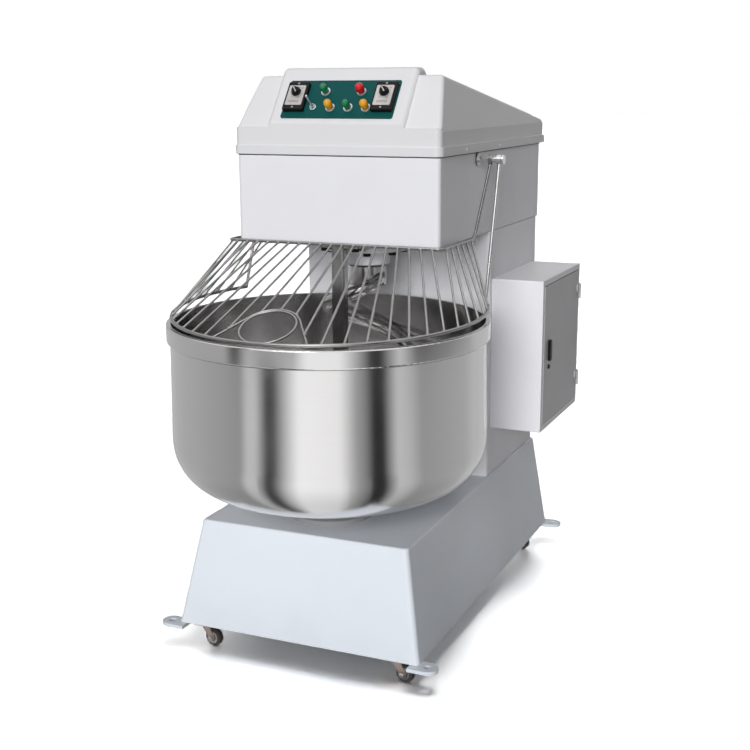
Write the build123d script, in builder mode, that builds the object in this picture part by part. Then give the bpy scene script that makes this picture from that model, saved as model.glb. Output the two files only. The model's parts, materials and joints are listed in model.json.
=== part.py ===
from build123d import *
import os
from math import atan2, cos, degrees, radians, sin, tan

# Floor-standing spiral dough mixer, in millimetres.
# Every piece is drawn about the bowl's axis: X to the right, Y to the back, Z up from the floor.
# The whole machine is then moved so that its origin is the middle of the floor under it.

# Shared thicknesses and clearances
sheet = 3.0                     # folded sheet steel of the column and head
seat_gap = 0.05                 # radial play of a turned piece in its seat
running_gap = 0.4               # between faces that move past each other
belt_gap = 0.6                  # between a belt's flank and its groove

# Base: a tapered shell that is open below
floor_gap = 60.0                # underside of the base above the floor
base_top = 327.0
base_ledge = 7.0                # its top stands this far out from the column
base_flare = 48.0               # and its foot this much further
base_front_top = -175.0
base_front_foot = -224.0
base_tail = 4.0                 # its rear stands this far out from the column
base_corner = 12.0
base_sheet = 4.0
base_edge = 6.0
base_lip = 75.0                 # width of the flange turned in along the bottom

# Anchor lugs welded under the corners of the base
lug_thick = 10.0
lug_half_width = 26.0
lug_reach = 22.0                # middle of the hole outside the foot of the base
lug_front_y = -220.0
lug_rear_inset = 10.0           # rear holes ahead of the base's rear
lug_hole_radius = 9.0
lug_edge = 2.5

# Swivel castors
castor_inset = 65.0             # from the foot of the base's side
castor_front_y = -192.0
castor_rear_inset = 112.0       # rear castors ahead of the base's rear
castor_plate = 56.0
castor_plate_thick = 3.0
castor_plate_corner = 6.0
castor_trail = 22.0
castor_turn = 80.0              # the wheels stand turned to the right
wheel_radius = 23.0
wheel_width = 18.0
wheel_edge = 4.0
axle_radius = 4.0
axle_head = 2.0                 # end of the axle outside the fork
fork_cheek = 2.5
fork_play = 1.0                 # between the wheel and a cheek
fork_eye = 8.0
fork_root_width = 25.0
fork_root = 2.0
fork_crown_radius = 19.0
fork_crown_thick = 4.0
kingpin_radius = 6.0
kingpin_short = 0.5             # the pin ends this far below the plate's top

# Column and head casing
head_half = 273.0               # half the width of head and column
head_front = 45.0
head_tail = 18.0                # the head's rear stands this far out from the column
head_bottom = 1012.0
head_height = 228.0             # the cover's lip hides the last few millimetres
head_corner = 12.0
head_edge = 5.0
column_gap = 37.0               # between the bowl's rim and the column
column_depth = 439.0
column_corner = 10.0
rear_window_width = 380.0
rear_window_height = 500.0
rear_cover_margin = 22.0
rear_cover_thick = 2.0
louvre_length = 150.0
louvre_height = 9.0
louvre_pitch = 26.0
louvre_count = 7
louvre_bar = 20.0               # plain strip between the two columns of louvres
head_plate_thick = 16.0
head_plate_gap = 4.0            # between the plate and the casing's walls

# Moulded head cover
cover_overlap = 12.0            # how far the lip hangs down over the casing
cover_lip_height = 22.0
cover_lip_proud = 4.0           # the lip stands this far out from the cover's walls
cover_lip_tail = 9.0            # and this far at the rear
cover_proud = 3.0               # the cover's sides stand this far out from the casing
cover_nose = 5.0                # its front this far
cover_tail = 27.0               # its rear this far
cover_corner = 16.0
cover_wall = 4.0
cover_fit = 0.5                 # between the lip and the casing inside it
cover_edge = 2.5                # rounding of the lip and of the band above it
shoulder_rise = 55.0            # foot of the sloping shoulder above the casing
shoulder_ledge = 8.0            # flat step in front of the shoulder
roof_front_y = 138.0
roof_front_rise = 179.0
roof_rear_rise = 60.0
roof_rear_slant = 30.0          # bevel at the rear edge of the roof
roof_soft = 11.0                # radius of the roof's edges
side_lean = 13.0                # degrees that the upper sides lean inward
side_rise = 47.0                # where the sides start to lean
console_half = 184.0
console_tilt = 37.0             # degrees back from vertical
console_rise = 197.0
console_back_y = 345.0
console_top_depth = 42.0
console_soft = 14.0             # radius of the console's edges

# Control panel on the console
panel_mid_y = 81.5
panel_rise = 120.5              # its middle above the casing
panel_width = 300.0
panel_height = 112.0
panel_thick = 2.0
panel_corner = 6.0
timer_x = 118.0
timer_up = 3.0
timer_width = 56.0
timer_height = 82.0
timer_thick = 12.0
timer_corner = 3.0
timer_bevel = 1.5
dial_width = 45.0
dial_height = 58.0
dial_thick = 1.2
knob_up = 9.0                   # knob above the middle of its timer
knob_radius = 12.5
knob_skirt = 4.3                # height of the wide foot
knob_grip_radius = 9.8
knob_grip = 6.5
knob_draft = 6.0                # degrees
knob_pointer_length = 21.0
knob_pointer_width = 5.0
knob_pointer = 8.7
knob_spindle = 3.0
knob_spindle_depth = 8.0
knob_turned = 125.0             # degrees that the pointer is turned from level
button_row_upper = 21.0
button_row_lower = -26.0
upper_green_x = -44.0
upper_red_x = 52.0
toggle_x = -66.0
lower_left_x = -20.0
lower_middle_x = 28.0
lower_right_x = 75.0
bezel_radius = 12.0
bezel_height = 4.0
bezel_bevel = 0.8
stem_radius = 7.5
stem_depth = 14.0
button_hole = 8.5
cap_start = 12.0
cap_height = 18.0
green_cap_radius = 8.8
yellow_cap_radius = 10.2
red_cap_radius = 11.0
toggle_nut = 15.0
toggle_nut_thick = 3.5
toggle_bush_radius = 6.0
toggle_bush_height = 10.0
toggle_bush_floor = 1.0
toggle_bore = 4.8
toggle_pivot = 4.5
toggle_root_radius = 1.8
toggle_tip_radius = 3.0
toggle_length = 46.0
toggle_tip_soft = 2.4
toggle_pin_radius = 2.4
toggle_pin_half = 4.0

# Spindle, spiral hook and breaker bar
spindle_back = 0.6              # spindle behind the bowl's axis, as a share of the rim's radius
flange_radius = 112.0
flange_thick = 34.0
boss_radius = 59.0
boss_bottom = 940.0
neck_radius = 70.0
neck_top = 1094.0
housing_edge = 3.0
shaft_radius = 27.5
shaft_proud = 6.0               # end of a shaft beyond its pulley
bolt_circle = 93.0
bolt_count = 8
bolt_head_flats = 19.0
bolt_head = 9.0
hub_radius = 50.0
hub_top = 937.0
hub_bottom = 884.0
hub_edge = 4.0
hook_bar = 17.0                 # radius of the bent bar
hook_lift = 39.0                # centre of the bar's lowest point above the bowl's underside
hook_top = 908.0
hook_turns = 1.5
hook_start_radius = 34.0
hook_radius = 122.0
hook_spread = 0.5               # share of the bar's run in which it reaches its full radius
hook_drop = 1.45                # how slowly the bar starts to fall away from the hub
hook_curl = 0.75                # share of the run after which the tip curls in
hook_tip = 0.55                 # how far the tip curls in
hook_stations = 19
bar_y = 66.0
bar_width = 36.0
bar_depth = 30.0
bar_lift = 31.0                 # foot of the bar above the bowl's underside
bar_soft = 8.0
bar_flange_width = 112.0
bar_flange_depth = 62.0
bar_flange_y = 86.0
bar_flange_thick = 12.0
bar_bolt_inset = 14.0           # bolts from the edges of the bar's flange

# Belt drives
groove_count = 3
groove_pitch = 17.0
groove_width = 14.0
groove_floor = 9.0
groove_depth = 13.0
belt_thick = 6.0
belt_sink = 1.0                 # outside of a belt below the pulley's rim
pulley_web = 10.0
spindle_pulley_radius = 172.0
spindle_pulley_bottom = 1112.0
motor_back = 253.0              # spiral motor behind the column's front
motor_pulley_radius = 55.0
motor_shaft = 14.0
motor_flange_radius = 125.0
motor_flange_thick = 14.0
motor_body_radius = 92.0
motor_fin_radius = 104.0
motor_fin_count = 20
motor_fin_thick = 4.0
motor_length = 250.0
motor_cowl = 62.0
bowl_pulley_radius = 150.0
bowl_pulley_bottom = 222.0
bowl_motor_back = 173.0         # bowl motor behind the column's front
bowl_motor_pulley_radius = 45.0
bowl_motor_scale = 0.78         # bowl motor against spiral motor

# Bowl and its drive
bowl_rim_radius = 400.0
bowl_rim_top = 833.0
bowl_rim_height = 43.0
bowl_rim_step = 9.0             # the rim band stands this far out from the wall
bowl_sheet = 3.0
bowl_bottom = 410.0
bowl_bend = 132.0
bowl_swell = 6.0                # the wall's foot stands this far out from its rim
bowl_neck = 5.0                 # straight part of the wall below the rim band
rim_edge = 3.0
bowl_hub_radius = 150.0
bowl_hub_thick = 14.0
bowl_boss_radius = 62.0
bowl_shaft_radius = 30.0
pedestal_radius = 108.0
pedestal_thick = 12.0
pedestal_boss = 80.0
pedestal_top = 384.0
pedestal_bottom = 286.0
pedestal_shoulder = 8.0
pedestal_gap = 3.0              # between the pedestal and the turning hub

# Wire guard
pivot_ahead = 119.0             # pivot ahead of the column
pivot_drop = 31.0               # pivot below the top of the casing
pivot_radius = 8.0
pivot_end = 72.0                # end of the shaft outside the head
bush_radius = 14.0
bush_flange_radius = 17.0
bush_flange = 5.0
eye_radius = 13.0
eye_width = 12.0
rail_eye_out = 38.0             # eyes outside the head
arm_eye_out = 60.0
collar_radius = 12.0
collar_width = 5.0
ring_inset = 10.0               # the ring inside the edge of the bowl's rim
ring_y = 8.0
ring_lift = 22.0                # above the bowl's rim
ring_rise = 0.04                # the ring climbs towards the back
ring_end_angle = 29.0
ring_wire = 4.5
rail_out = 16.0                 # the rail outside the head
rail_front_y = 22.0
rail_rear_ahead = 63.0          # the rail turns up this far ahead of the pivot
rail_lift = 1.0                 # above the head's underside
rail_wire = 4.0
rail_corner = 14.0
rail_bend = 30.0
rod_wire = 3.0
front_rods = 19
rod_margin = 25.7               # from the outermost front rod to the rail's side
foot_step = 7.4                 # degrees between the feet of two rods on the ring
side_rods = 6
side_rod_front_y = 48.0
side_rod_pitch = 37.0
feed_ring_radius = 66.0
feed_ring_up = 67.0             # its centre above the lower ring, along the slope
feed_wire = 2.75
arch_half = 120.0
arch_apex = 185.0
arch_radius = 76.0
arch_top_up = 137.0             # top of the arch above the lower ring, along the slope
switch_x = 200.0
switch_size = 34.0
switch_gap = 2.0
switch_corner = 4.0
cam_radius = 20.0
cam_width = 12.0

# Electrical case on the right side of the column
case_depth = 144.0
case_front_inset = 22.0         # from the column's front
case_rear_inset = 30.0          # from the column's rear
case_bottom = 463.0
case_top = 882.0
case_sheet = 2.0
case_rim = 15.0
case_edge = 3.0
door_gap = 2.0
door_proud = 1.5
door_lip = 12.0
hinge_radius = 4.0
hinge_pin = 2.0
hinge_half = 22.0
hinge_offset = 130.0
hinge_leaf = 10.5               # part of a hinge that lies on the case
hinge_tongue = 20.0             # part that lies on the door
handle_back = 64.0              # behind the front of the case
handle_z = 683.0
handle_length = 58.0
handle_width = 19.0
handle_thick = 7.0
handle_spindle = 5.0
handle_corner = 5.0
handle_edge = 2.0
handle_inside = 8.0             # end of the spindle behind the door
handle_pivot_up = 17.0
contactor_count = 3
contactor_width = 54.0
contactor_height = 84.0
contactor_depth = 72.0
contactor_body = 50.0           # depth of the wide part
contactor_face_width = 43.0
contactor_face_height = 42.0
contactor_pitch = 80.0
contactor_up = 60.0
gland_radius = 14.0
gland_back = 101.0              # behind the front of the case
gland_out = 72.0                # outside the column
gland_nut = 8.0
gland_cap = 14.0
gland_cap_radius = 11.9
gland_thread = 10.0
gland_thread_radius = 9.8
gland_bore = 5.6
gland_taper = 8.0               # degrees

# Derived positions
head_top = head_bottom + head_height
column_front = bowl_rim_radius + column_gap
column_rear = column_front + column_depth
head_rear = column_rear + head_tail
base_rear = column_rear + base_tail
lug_rear_y = base_rear - lug_rear_inset
castor_rear_y = base_rear - castor_rear_inset
spindle_y = spindle_back * bowl_rim_radius
motor_y = column_front + motor_back
bowl_motor_y = column_front + bowl_motor_back
pivot_y = column_front - pivot_ahead
rail_rear_y = pivot_y - rail_rear_ahead
case_front_y = column_front + case_front_inset
case_rear_y = column_rear - case_rear_inset
handle_y = case_front_y + handle_back
gland_y = case_front_y + gland_back
base_half_top = head_half + base_ledge
base_half_foot = base_half_top + base_flare
castor_x = base_half_foot - castor_inset
lug_hole_x = base_half_foot + lug_reach
lug_root_x = lug_hole_x - 2 * lug_reach
cover_half = head_half + cover_proud
cover_front = head_front - cover_nose
cover_rear = head_rear + cover_tail
cover_lip_half = cover_half + cover_lip_proud
cover_lip_front = cover_front - cover_lip_proud
cover_lip_rear = cover_rear + cover_lip_tail
cover_lip_bottom = head_top - cover_overlap
shoulder_foot = head_top + shoulder_rise
side_band = head_top + side_rise
roof_front = head_top + roof_front_rise
roof_rear = head_top + roof_rear_rise
console_top = head_top + console_rise
panel_mid_z = head_top + panel_rise
bowl_wall_radius = bowl_rim_radius - bowl_rim_step
hook_bottom = bowl_bottom + hook_lift
bar_bottom = bowl_bottom + bar_lift
pivot_z = head_top - pivot_drop
pivot_reach = head_half + pivot_end
rail_eye_x = head_half + rail_eye_out
arm_eye_x = head_half + arm_eye_out
rail_half = head_half + rail_out
rail_z = head_bottom + rail_lift
front_rod_pitch = 2 * (rail_half - rod_margin) / (front_rods - 1)
ring_radius = bowl_rim_radius - ring_inset
ring_z = bowl_rim_top + ring_lift
case_face = head_half + case_depth
gland_x = head_half + gland_out
machine_right = case_face + door_proud + running_gap + 2 * hinge_radius
floor_centre = Location((
    (bowl_rim_radius - machine_right) / 2,
    (bowl_rim_radius - cover_lip_rear) / 2,
    0,
))
drive_width = groove_count * groove_pitch + 4
tilt_sin = sin(radians(console_tilt))
tilt_cos = cos(radians(console_tilt))
panel_plane = Plane(
    origin=(0, panel_mid_y, panel_mid_z),
    x_dir=(1, 0, 0),
    z_dir=(0, -tilt_cos, tilt_sin),
)
panel_face = panel_plane.offset(panel_thick)
timer_face = panel_face.offset(timer_thick)
dial_face = timer_face.offset(dial_thick)
ring_plane = Plane(
    origin=(0, ring_y, ring_z + ring_rise * ring_y),
    x_dir=(1, 0, 0),
    z_dir=(0, -ring_rise, 1),
)
panel_normal = Axis(panel_plane.origin, panel_plane.z_dir)
hinge_x = case_face + door_proud + running_gap + hinge_radius
hinge_y = case_rear_y - case_rim
spindle_section = Plane(origin=(0, spindle_y, 0), x_dir=(1, 0, 0), z_dir=(0, -1, 0))
spindle_axis = Axis((0, spindle_y, 0), (0, 0, 1))

os.makedirs("parts", exist_ok=True)


def write(piece, name, shift=(0, 0, 0)):
    """Label one finished piece, move it to the machine's origin and save it."""
    placed = piece.moved(floor_centre * Location(shift))
    placed.label = name
    export_step(placed, f"parts/{name}.step")


def tube_between(start, end, radius):
    """A straight round bar from one point to another."""
    run = end - start
    with BuildPart() as bar:
        with BuildSketch(Plane(origin=start, z_dir=run)):
            Circle(radius)
        extrude(amount=run.length)
    return bar.part


def ring_point(angle):
    """A point on the centre line of the guard's lower ring, by its angle from the right."""
    reach = Vector(ring_radius * cos(radians(angle)), ring_radius * sin(radians(angle)), 0)
    return ring_plane.from_local_coords(reach)


# Base shell
def base_outline(height, inset):
    """Rounded rectangle of the base at one height, drawn in by a wall."""
    rise = (height - floor_gap) / (base_top - floor_gap)
    half = base_half_foot + (base_half_top - base_half_foot) * rise - inset
    front = base_front_foot + (base_front_top - base_front_foot) * rise + inset
    rear = base_rear - inset
    with BuildSketch(Plane.XY.offset(height)) as outline:
        with Locations((0, (front + rear) / 2)):
            RectangleRounded(2 * half, rear - front, base_corner - inset)
    return outline.sketch


with BuildPart() as base_shell:
    loft(sections=[base_outline(floor_gap, 0), base_outline(base_top, 0)], ruled=True)
    fillet(base_shell.edges().group_by(Axis.Z)[-1], base_edge)
    cavity = [
        base_outline(floor_gap + base_sheet, base_sheet),
        base_outline(base_top - base_sheet, base_sheet),
    ]
    loft(sections=cavity, ruled=True, mode=Mode.SUBTRACT)
    with BuildSketch(Plane.XY.offset(floor_gap)):
        with Locations((0, (base_front_foot + base_rear) / 2)):
            RectangleRounded(
                2 * (base_half_foot - base_lip),
                base_rear - base_front_foot - 2 * base_lip,
                base_corner,
            )
    extrude(amount=base_sheet, mode=Mode.SUBTRACT)
    with BuildSketch(Plane.XY.offset(base_top)):
        Circle(pedestal_boss + seat_gap)
        with Locations((0, bowl_motor_y)):
            Circle(motor_body_radius * bowl_motor_scale / 2)
    extrude(amount=-base_sheet, mode=Mode.SUBTRACT)
write(base_shell.part, "base_shell")

# Anchor lugs
lug_mid_y = (lug_front_y + lug_rear_y) / 2
lug_span_y = lug_rear_y - lug_front_y
with BuildPart() as anchor_lugs:
    with BuildSketch(Plane.XY.offset(floor_gap - lug_thick)):
        with Locations((0, lug_mid_y)):
            with GridLocations(lug_hole_x + lug_root_x, lug_span_y, 2, 2):
                Rectangle(lug_hole_x - lug_root_x, 2 * lug_half_width)
            with GridLocations(2 * lug_hole_x, lug_span_y, 2, 2):
                Circle(lug_half_width)
    extrude(amount=lug_thick)
    fillet(anchor_lugs.edges().group_by(Axis.Z)[0], lug_edge)
    with Locations((0, lug_mid_y, floor_gap)):
        with GridLocations(2 * lug_hole_x, lug_span_y, 2, 2):
            Hole(lug_hole_radius)
write(anchor_lugs.part, "anchor_lugs")

# Castors
castor_mid_y = (castor_front_y + castor_rear_y) / 2
castor_span_y = castor_rear_y - castor_front_y
plate_bottom = floor_gap - castor_plate_thick
crown_top = plate_bottom - running_gap
cheek_inner = wheel_width / 2 + fork_play
axle_half = cheek_inner + fork_cheek + axle_head
with BuildPart() as castor_plates:
    with BuildSketch(Plane.XY.offset(plate_bottom)):
        with Locations((0, castor_mid_y)):
            with GridLocations(2 * castor_x, castor_span_y, 2, 2):
                RectangleRounded(castor_plate, castor_plate, castor_plate_corner)
                Circle(kingpin_radius + seat_gap, mode=Mode.SUBTRACT)
    extrude(amount=castor_plate_thick)
write(castor_plates.part, "castor_plates")

with BuildPart() as castor_fork:
    with BuildSketch(Plane.XY.offset(crown_top - fork_crown_thick)):
        Circle(fork_crown_radius)
    extrude(amount=fork_crown_thick)
    with BuildSketch(Plane.XY.offset(crown_top)):
        Circle(kingpin_radius)
    extrude(amount=castor_plate_thick + running_gap - kingpin_short)
    for side in (cheek_inner, -cheek_inner - fork_cheek):
        with BuildSketch(Plane.YZ.offset(side)):
            with Locations((-castor_trail, wheel_radius)):
                Circle(fork_eye)
            with Locations((0, crown_top - fork_crown_thick)):
                Rectangle(fork_root_width, fork_root, align=(Align.CENTER, Align.MIN))
            make_hull()
        extrude(amount=fork_cheek)
    with BuildSketch(Plane.YZ.offset(-axle_half)):
        with Locations((-castor_trail, wheel_radius)):
            Circle(axle_radius)
    extrude(amount=2 * axle_half)

with BuildPart() as castor_wheel:
    with BuildSketch(Plane.YZ.offset(-wheel_width / 2)):
        with Locations((-castor_trail, wheel_radius)):
            Circle(wheel_radius)
    extrude(amount=wheel_width)
    fillet(castor_wheel.edges().filter_by(GeomType.CIRCLE), wheel_edge)
    with BuildSketch(Plane.YZ.offset(-wheel_width / 2)):
        with Locations((-castor_trail, wheel_radius)):
            Circle(axle_radius + seat_gap)
    extrude(amount=wheel_width, mode=Mode.SUBTRACT)

castor_places = {
    "front_left": (-castor_x, castor_front_y, 0),
    "front_right": (castor_x, castor_front_y, 0),
    "rear_left": (-castor_x, castor_rear_y, 0),
    "rear_right": (castor_x, castor_rear_y, 0),
}
for place, spot in castor_places.items():
    write(castor_fork.part.rotate(Axis.Z, castor_turn), f"castor_fork_{place}", spot)
    write(castor_wheel.part.rotate(Axis.Z, castor_turn), f"castor_wheel_{place}", spot)

# Column and its rear access cover
column_mid_y = (column_front + column_rear) / 2
window_z = (base_top + head_bottom) / 2
rear_face = Plane(origin=(0, column_rear, window_z), x_dir=(-1, 0, 0), z_dir=(0, 1, 0))
with BuildPart() as column_shell:
    with BuildSketch(Plane.XY.offset(base_top)):
        with Locations((0, column_mid_y)):
            RectangleRounded(2 * head_half, column_depth, column_corner)
            RectangleRounded(
                2 * (head_half - sheet),
                column_depth - 2 * sheet,
                column_corner - sheet,
                mode=Mode.SUBTRACT,
            )
    extrude(amount=head_bottom - base_top)
    with BuildSketch(rear_face):
        RectangleRounded(rear_window_width, rear_window_height, column_corner)
    extrude(amount=-2 * sheet, mode=Mode.SUBTRACT)
write(column_shell.part, "column_shell")

with BuildPart() as rear_cover:
    with BuildSketch(rear_face):
        RectangleRounded(
            rear_window_width + 2 * rear_cover_margin,
            rear_window_height + 2 * rear_cover_margin,
            column_corner,
        )
    extrude(amount=rear_cover_thick)
    with BuildSketch(rear_face):
        with Locations((0, -rear_window_height / 4)):
            with GridLocations(louvre_length + louvre_bar, louvre_pitch, 2, louvre_count):
                SlotOverall(louvre_length, louvre_height)
    extrude(amount=rear_cover_thick, mode=Mode.SUBTRACT)
write(rear_cover.part, "rear_cover")

# Head casing and the thick plate that carries the spindle
head_mid_y = (head_front + head_rear) / 2
head_depth = head_rear - head_front
with BuildPart() as head_casing:
    with BuildSketch(Plane.XY.offset(head_bottom)):
        with Locations((0, head_mid_y)):
            RectangleRounded(2 * head_half, head_depth, head_corner)
    extrude(amount=head_top - head_bottom)
    fillet(head_casing.edges().group_by(Axis.Z)[0], head_edge)
    with BuildSketch(Plane.XY.offset(head_bottom + sheet)):
        with Locations((0, head_mid_y)):
            RectangleRounded(2 * (head_half - sheet), head_depth - 2 * sheet, head_corner - sheet)
    extrude(amount=head_top - head_bottom, mode=Mode.SUBTRACT)
    with BuildSketch(Plane.XY.offset(head_bottom)):
        with Locations((0, spindle_y)):
            Circle(neck_radius + seat_gap)
        with Locations((0, motor_y)):
            Circle(motor_body_radius)
    extrude(amount=sheet, mode=Mode.SUBTRACT)
    with BuildSketch(Plane.YZ.offset(-head_half)):
        with Locations((pivot_y, pivot_z)):
            Circle(bush_radius + seat_gap)
    extrude(amount=2 * head_half, mode=Mode.SUBTRACT)
write(head_casing.part, "head_casing")

plate_front = head_front + sheet + head_plate_gap
plate_half = head_half - sheet - head_plate_gap
plate_rear = column_front - column_corner
with BuildPart() as head_plate:
    with BuildSketch(Plane.XY.offset(head_bottom + sheet)):
        with Locations((0, (plate_front + plate_rear) / 2)):
            RectangleRounded(2 * plate_half, plate_rear - plate_front, head_corner - sheet)
        with Locations((0, spindle_y)):
            Circle(neck_radius + seat_gap, mode=Mode.SUBTRACT)
    extrude(amount=head_plate_thick)
write(head_plate.part, "head_plate")


# Moulded head cover
def roof_form(inset, floor):
    """Roof with sloping shoulders over leaning sides, drawn in by a wall."""
    lean = (console_top - side_band) * tan(radians(side_lean))
    with BuildPart() as form:
        with BuildSketch(Plane.YZ):
            with BuildLine():
                Polyline(
                    (cover_front, floor - inset),
                    (cover_front, shoulder_foot),
                    (cover_front + shoulder_ledge, shoulder_foot),
                    (roof_front_y, roof_front),
                    (cover_rear - roof_rear_slant, roof_rear),
                    (cover_rear, roof_rear - roof_rear_slant),
                    (cover_rear, floor - inset),
                    close=True,
                )
            make_face()
            offset(amount=-inset, kind=Kind.INTERSECTION)
        extrude(amount=cover_half, both=True)
        with BuildSketch(Plane.XZ):
            with BuildLine():
                Polyline(
                    (-cover_half, floor - inset),
                    (cover_half, floor - inset),
                    (cover_half, side_band),
                    (cover_half - lean, console_top),
                    (lean - cover_half, console_top),
                    (-cover_half, side_band),
                    close=True,
                )
            make_face()
            offset(amount=-inset, kind=Kind.INTERSECTION)
        extrude(amount=2 * cover_rear, both=True, mode=Mode.INTERSECT)
        soft_from = max(side_band, shoulder_foot) + cover_edge
        upper_edges = form.edges().filter_by(lambda edge: edge.center().Z > soft_from)
        fillet(upper_edges, roof_soft - inset)
        with BuildSketch(Plane.XY.offset(floor)):
            with Locations((0, (cover_front + cover_rear) / 2)):
                RectangleRounded(
                    2 * (cover_half - inset),
                    cover_rear - cover_front - 2 * inset,
                    cover_corner - inset,
                )
        extrude(amount=console_top, mode=Mode.INTERSECT)
    return form.part


def console_form(inset, floor):
    """Raised console with a sloping front, drawn in by a wall."""
    console_foot = panel_mid_z - (panel_mid_y - cover_front) / tan(radians(console_tilt))
    console_top_y = panel_mid_y + (console_top - panel_mid_z) * tan(radians(console_tilt))
    with BuildPart() as form:
        with BuildSketch(Plane.YZ):
            with BuildLine():
                Polyline(
                    (cover_front, floor - inset),
                    (cover_front, console_foot),
                    (console_top_y, console_top),
                    (console_top_y + console_top_depth, console_top),
                    (console_back_y, shoulder_foot),
                    (console_back_y, floor - inset),
                    close=True,
                )
            make_face()
            offset(amount=-inset, kind=Kind.INTERSECTION)
        extrude(amount=console_half - inset, both=True)
        raised_edges = form.edges().filter_by(lambda edge: edge.center().Z > shoulder_foot)
        fillet(raised_edges, console_soft - inset)
    return form.part


button_spots = {
    "green_button_upper": (upper_green_x, button_row_upper, green_cap_radius),
    "red_button": (upper_red_x, button_row_upper, red_cap_radius),
    "yellow_button_left": (lower_left_x, button_row_lower, yellow_cap_radius),
    "green_button_lower": (lower_middle_x, button_row_lower, green_cap_radius),
    "yellow_button_right": (lower_right_x, button_row_lower, yellow_cap_radius),
}
button_places = [(across, up) for across, up, cap_radius in button_spots.values()]
with BuildPart() as head_cover:
    add(roof_form(0, cover_lip_bottom))
    add(console_form(0, cover_lip_bottom))
    with BuildSketch(Plane.XY.offset(cover_lip_bottom)):
        with Locations((0, (cover_lip_front + cover_lip_rear) / 2)):
            RectangleRounded(
                2 * cover_lip_half,
                cover_lip_rear - cover_lip_front,
                cover_corner + cover_lip_proud,
            )
    extrude(amount=cover_lip_height)
    fillet(head_cover.edges().group_by(Axis.Z)[0], cover_edge)
    add(roof_form(cover_wall, head_top), mode=Mode.SUBTRACT)
    add(console_form(cover_wall, head_top), mode=Mode.SUBTRACT)
    with BuildSketch(Plane.XY.offset(cover_lip_bottom)):
        with Locations((0, head_mid_y)):
            RectangleRounded(
                2 * (head_half + cover_fit),
                head_depth + 2 * cover_fit,
                head_corner + cover_fit,
            )
    extrude(amount=cover_overlap, mode=Mode.SUBTRACT)
    with BuildSketch(panel_plane):
        with Locations(*button_places):
            Circle(button_hole)
    extrude(amount=-2 * stem_depth, mode=Mode.SUBTRACT)
write(head_cover.part, "head_cover")

# Control panel with its timers, push buttons and toggle switch
with BuildPart() as control_panel:
    with BuildSketch(panel_plane):
        RectangleRounded(panel_width, panel_height, panel_corner)
        with Locations(*button_places):
            Circle(button_hole, mode=Mode.SUBTRACT)
    extrude(amount=panel_thick)
write(control_panel.part, "control_panel")

knob_places = [(-timer_x, timer_up + knob_up), (timer_x, timer_up + knob_up)]
with BuildPart() as timer_bezels:
    with BuildSketch(panel_face):
        with Locations((0, timer_up)):
            with GridLocations(2 * timer_x, 1, 2, 1):
                RectangleRounded(timer_width, timer_height, timer_corner)
    extrude(amount=timer_thick)
    chamfer(timer_bezels.faces().sort_by(panel_normal)[-2:].edges(), timer_bevel)
    with BuildSketch(timer_face):
        with Locations(*knob_places):
            Circle(knob_spindle + seat_gap)
    extrude(amount=-knob_spindle_depth, mode=Mode.SUBTRACT)
write(timer_bezels.part, "timer_bezels")

with BuildPart() as timer_dials:
    with BuildSketch(timer_face):
        with Locations((0, timer_up)):
            with GridLocations(2 * timer_x, 1, 2, 1):
                RectangleRounded(dial_width, dial_height, timer_corner)
        with Locations(*knob_places):
            Circle(knob_spindle + seat_gap, mode=Mode.SUBTRACT)
    extrude(amount=dial_thick)
write(timer_dials.part, "timer_dials")

with BuildPart() as timer_knob:
    with BuildSketch(dial_face.offset(running_gap)):
        with Locations(knob_places[0]):
            Circle(knob_radius)
    extrude(amount=knob_skirt, taper=knob_draft)
    with BuildSketch(dial_face.offset(running_gap + knob_skirt)):
        with Locations(knob_places[0]):
            Circle(knob_grip_radius)
    extrude(amount=knob_grip, taper=knob_draft)
    with BuildSketch(dial_face.offset(running_gap + knob_skirt)):
        with Locations(knob_places[0]):
            SlotOverall(knob_pointer_length, knob_pointer_width, rotation=knob_turned)
    extrude(amount=knob_pointer)
    with BuildSketch(dial_face.offset(running_gap)):
        with Locations(knob_places[0]):
            Circle(knob_spindle)
    extrude(amount=-knob_spindle_depth)
write(timer_knob.part, "timer_knob_left")
write(timer_knob.part, "timer_knob_right", (2 * timer_x, 0, 0))

with BuildPart() as button_bezels:
    with BuildSketch(panel_face):
        with Locations(*button_places):
            Circle(bezel_radius)
            Circle(stem_radius + running_gap, mode=Mode.SUBTRACT)
    extrude(amount=bezel_height)
    chamfer(button_bezels.faces().sort_by(panel_normal)[-5:].edges(), bezel_bevel)
write(button_bezels.part, "button_bezels")

for name, (across, up, cap_radius) in button_spots.items():
    spot = panel_face.from_local_coords(Vector(across, up, 0))
    stand = Plane(origin=spot, x_dir=panel_plane.z_dir, z_dir=(1, 0, 0))
    with BuildPart() as push_button:
        with BuildSketch(stand):
            with BuildLine():
                foot = Line((-stem_depth, 0), (-stem_depth, stem_radius))
                stem = Line(foot @ 1, (cap_start, stem_radius))
                shelf = Line(stem @ 1, (cap_start, cap_radius))
                side = Line(shelf @ 1, (cap_start + cap_height - cap_radius, cap_radius))
                RadiusArc(side @ 1, (cap_start + cap_height, 0), cap_radius)
                Line((cap_start + cap_height, 0), foot @ 0)
            make_face()
        revolve(axis=Axis(spot, panel_plane.z_dir))
    write(push_button.part, name)

toggle_spot = (toggle_x, button_row_lower)
with BuildPart() as toggle_bush:
    with BuildSketch(panel_face):
        with Locations(toggle_spot):
            RegularPolygon(toggle_nut / 2, 6, major_radius=False)
    extrude(amount=toggle_nut_thick)
    with BuildSketch(panel_face):
        with Locations(toggle_spot):
            Circle(toggle_bush_radius)
    extrude(amount=toggle_bush_height)
    with BuildSketch(panel_face.offset(toggle_bush_height)):
        with Locations(toggle_spot):
            Circle(toggle_bore)
    extrude(amount=toggle_bush_floor - toggle_bush_height, mode=Mode.SUBTRACT)
write(toggle_bush.part, "toggle_bush")

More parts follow.
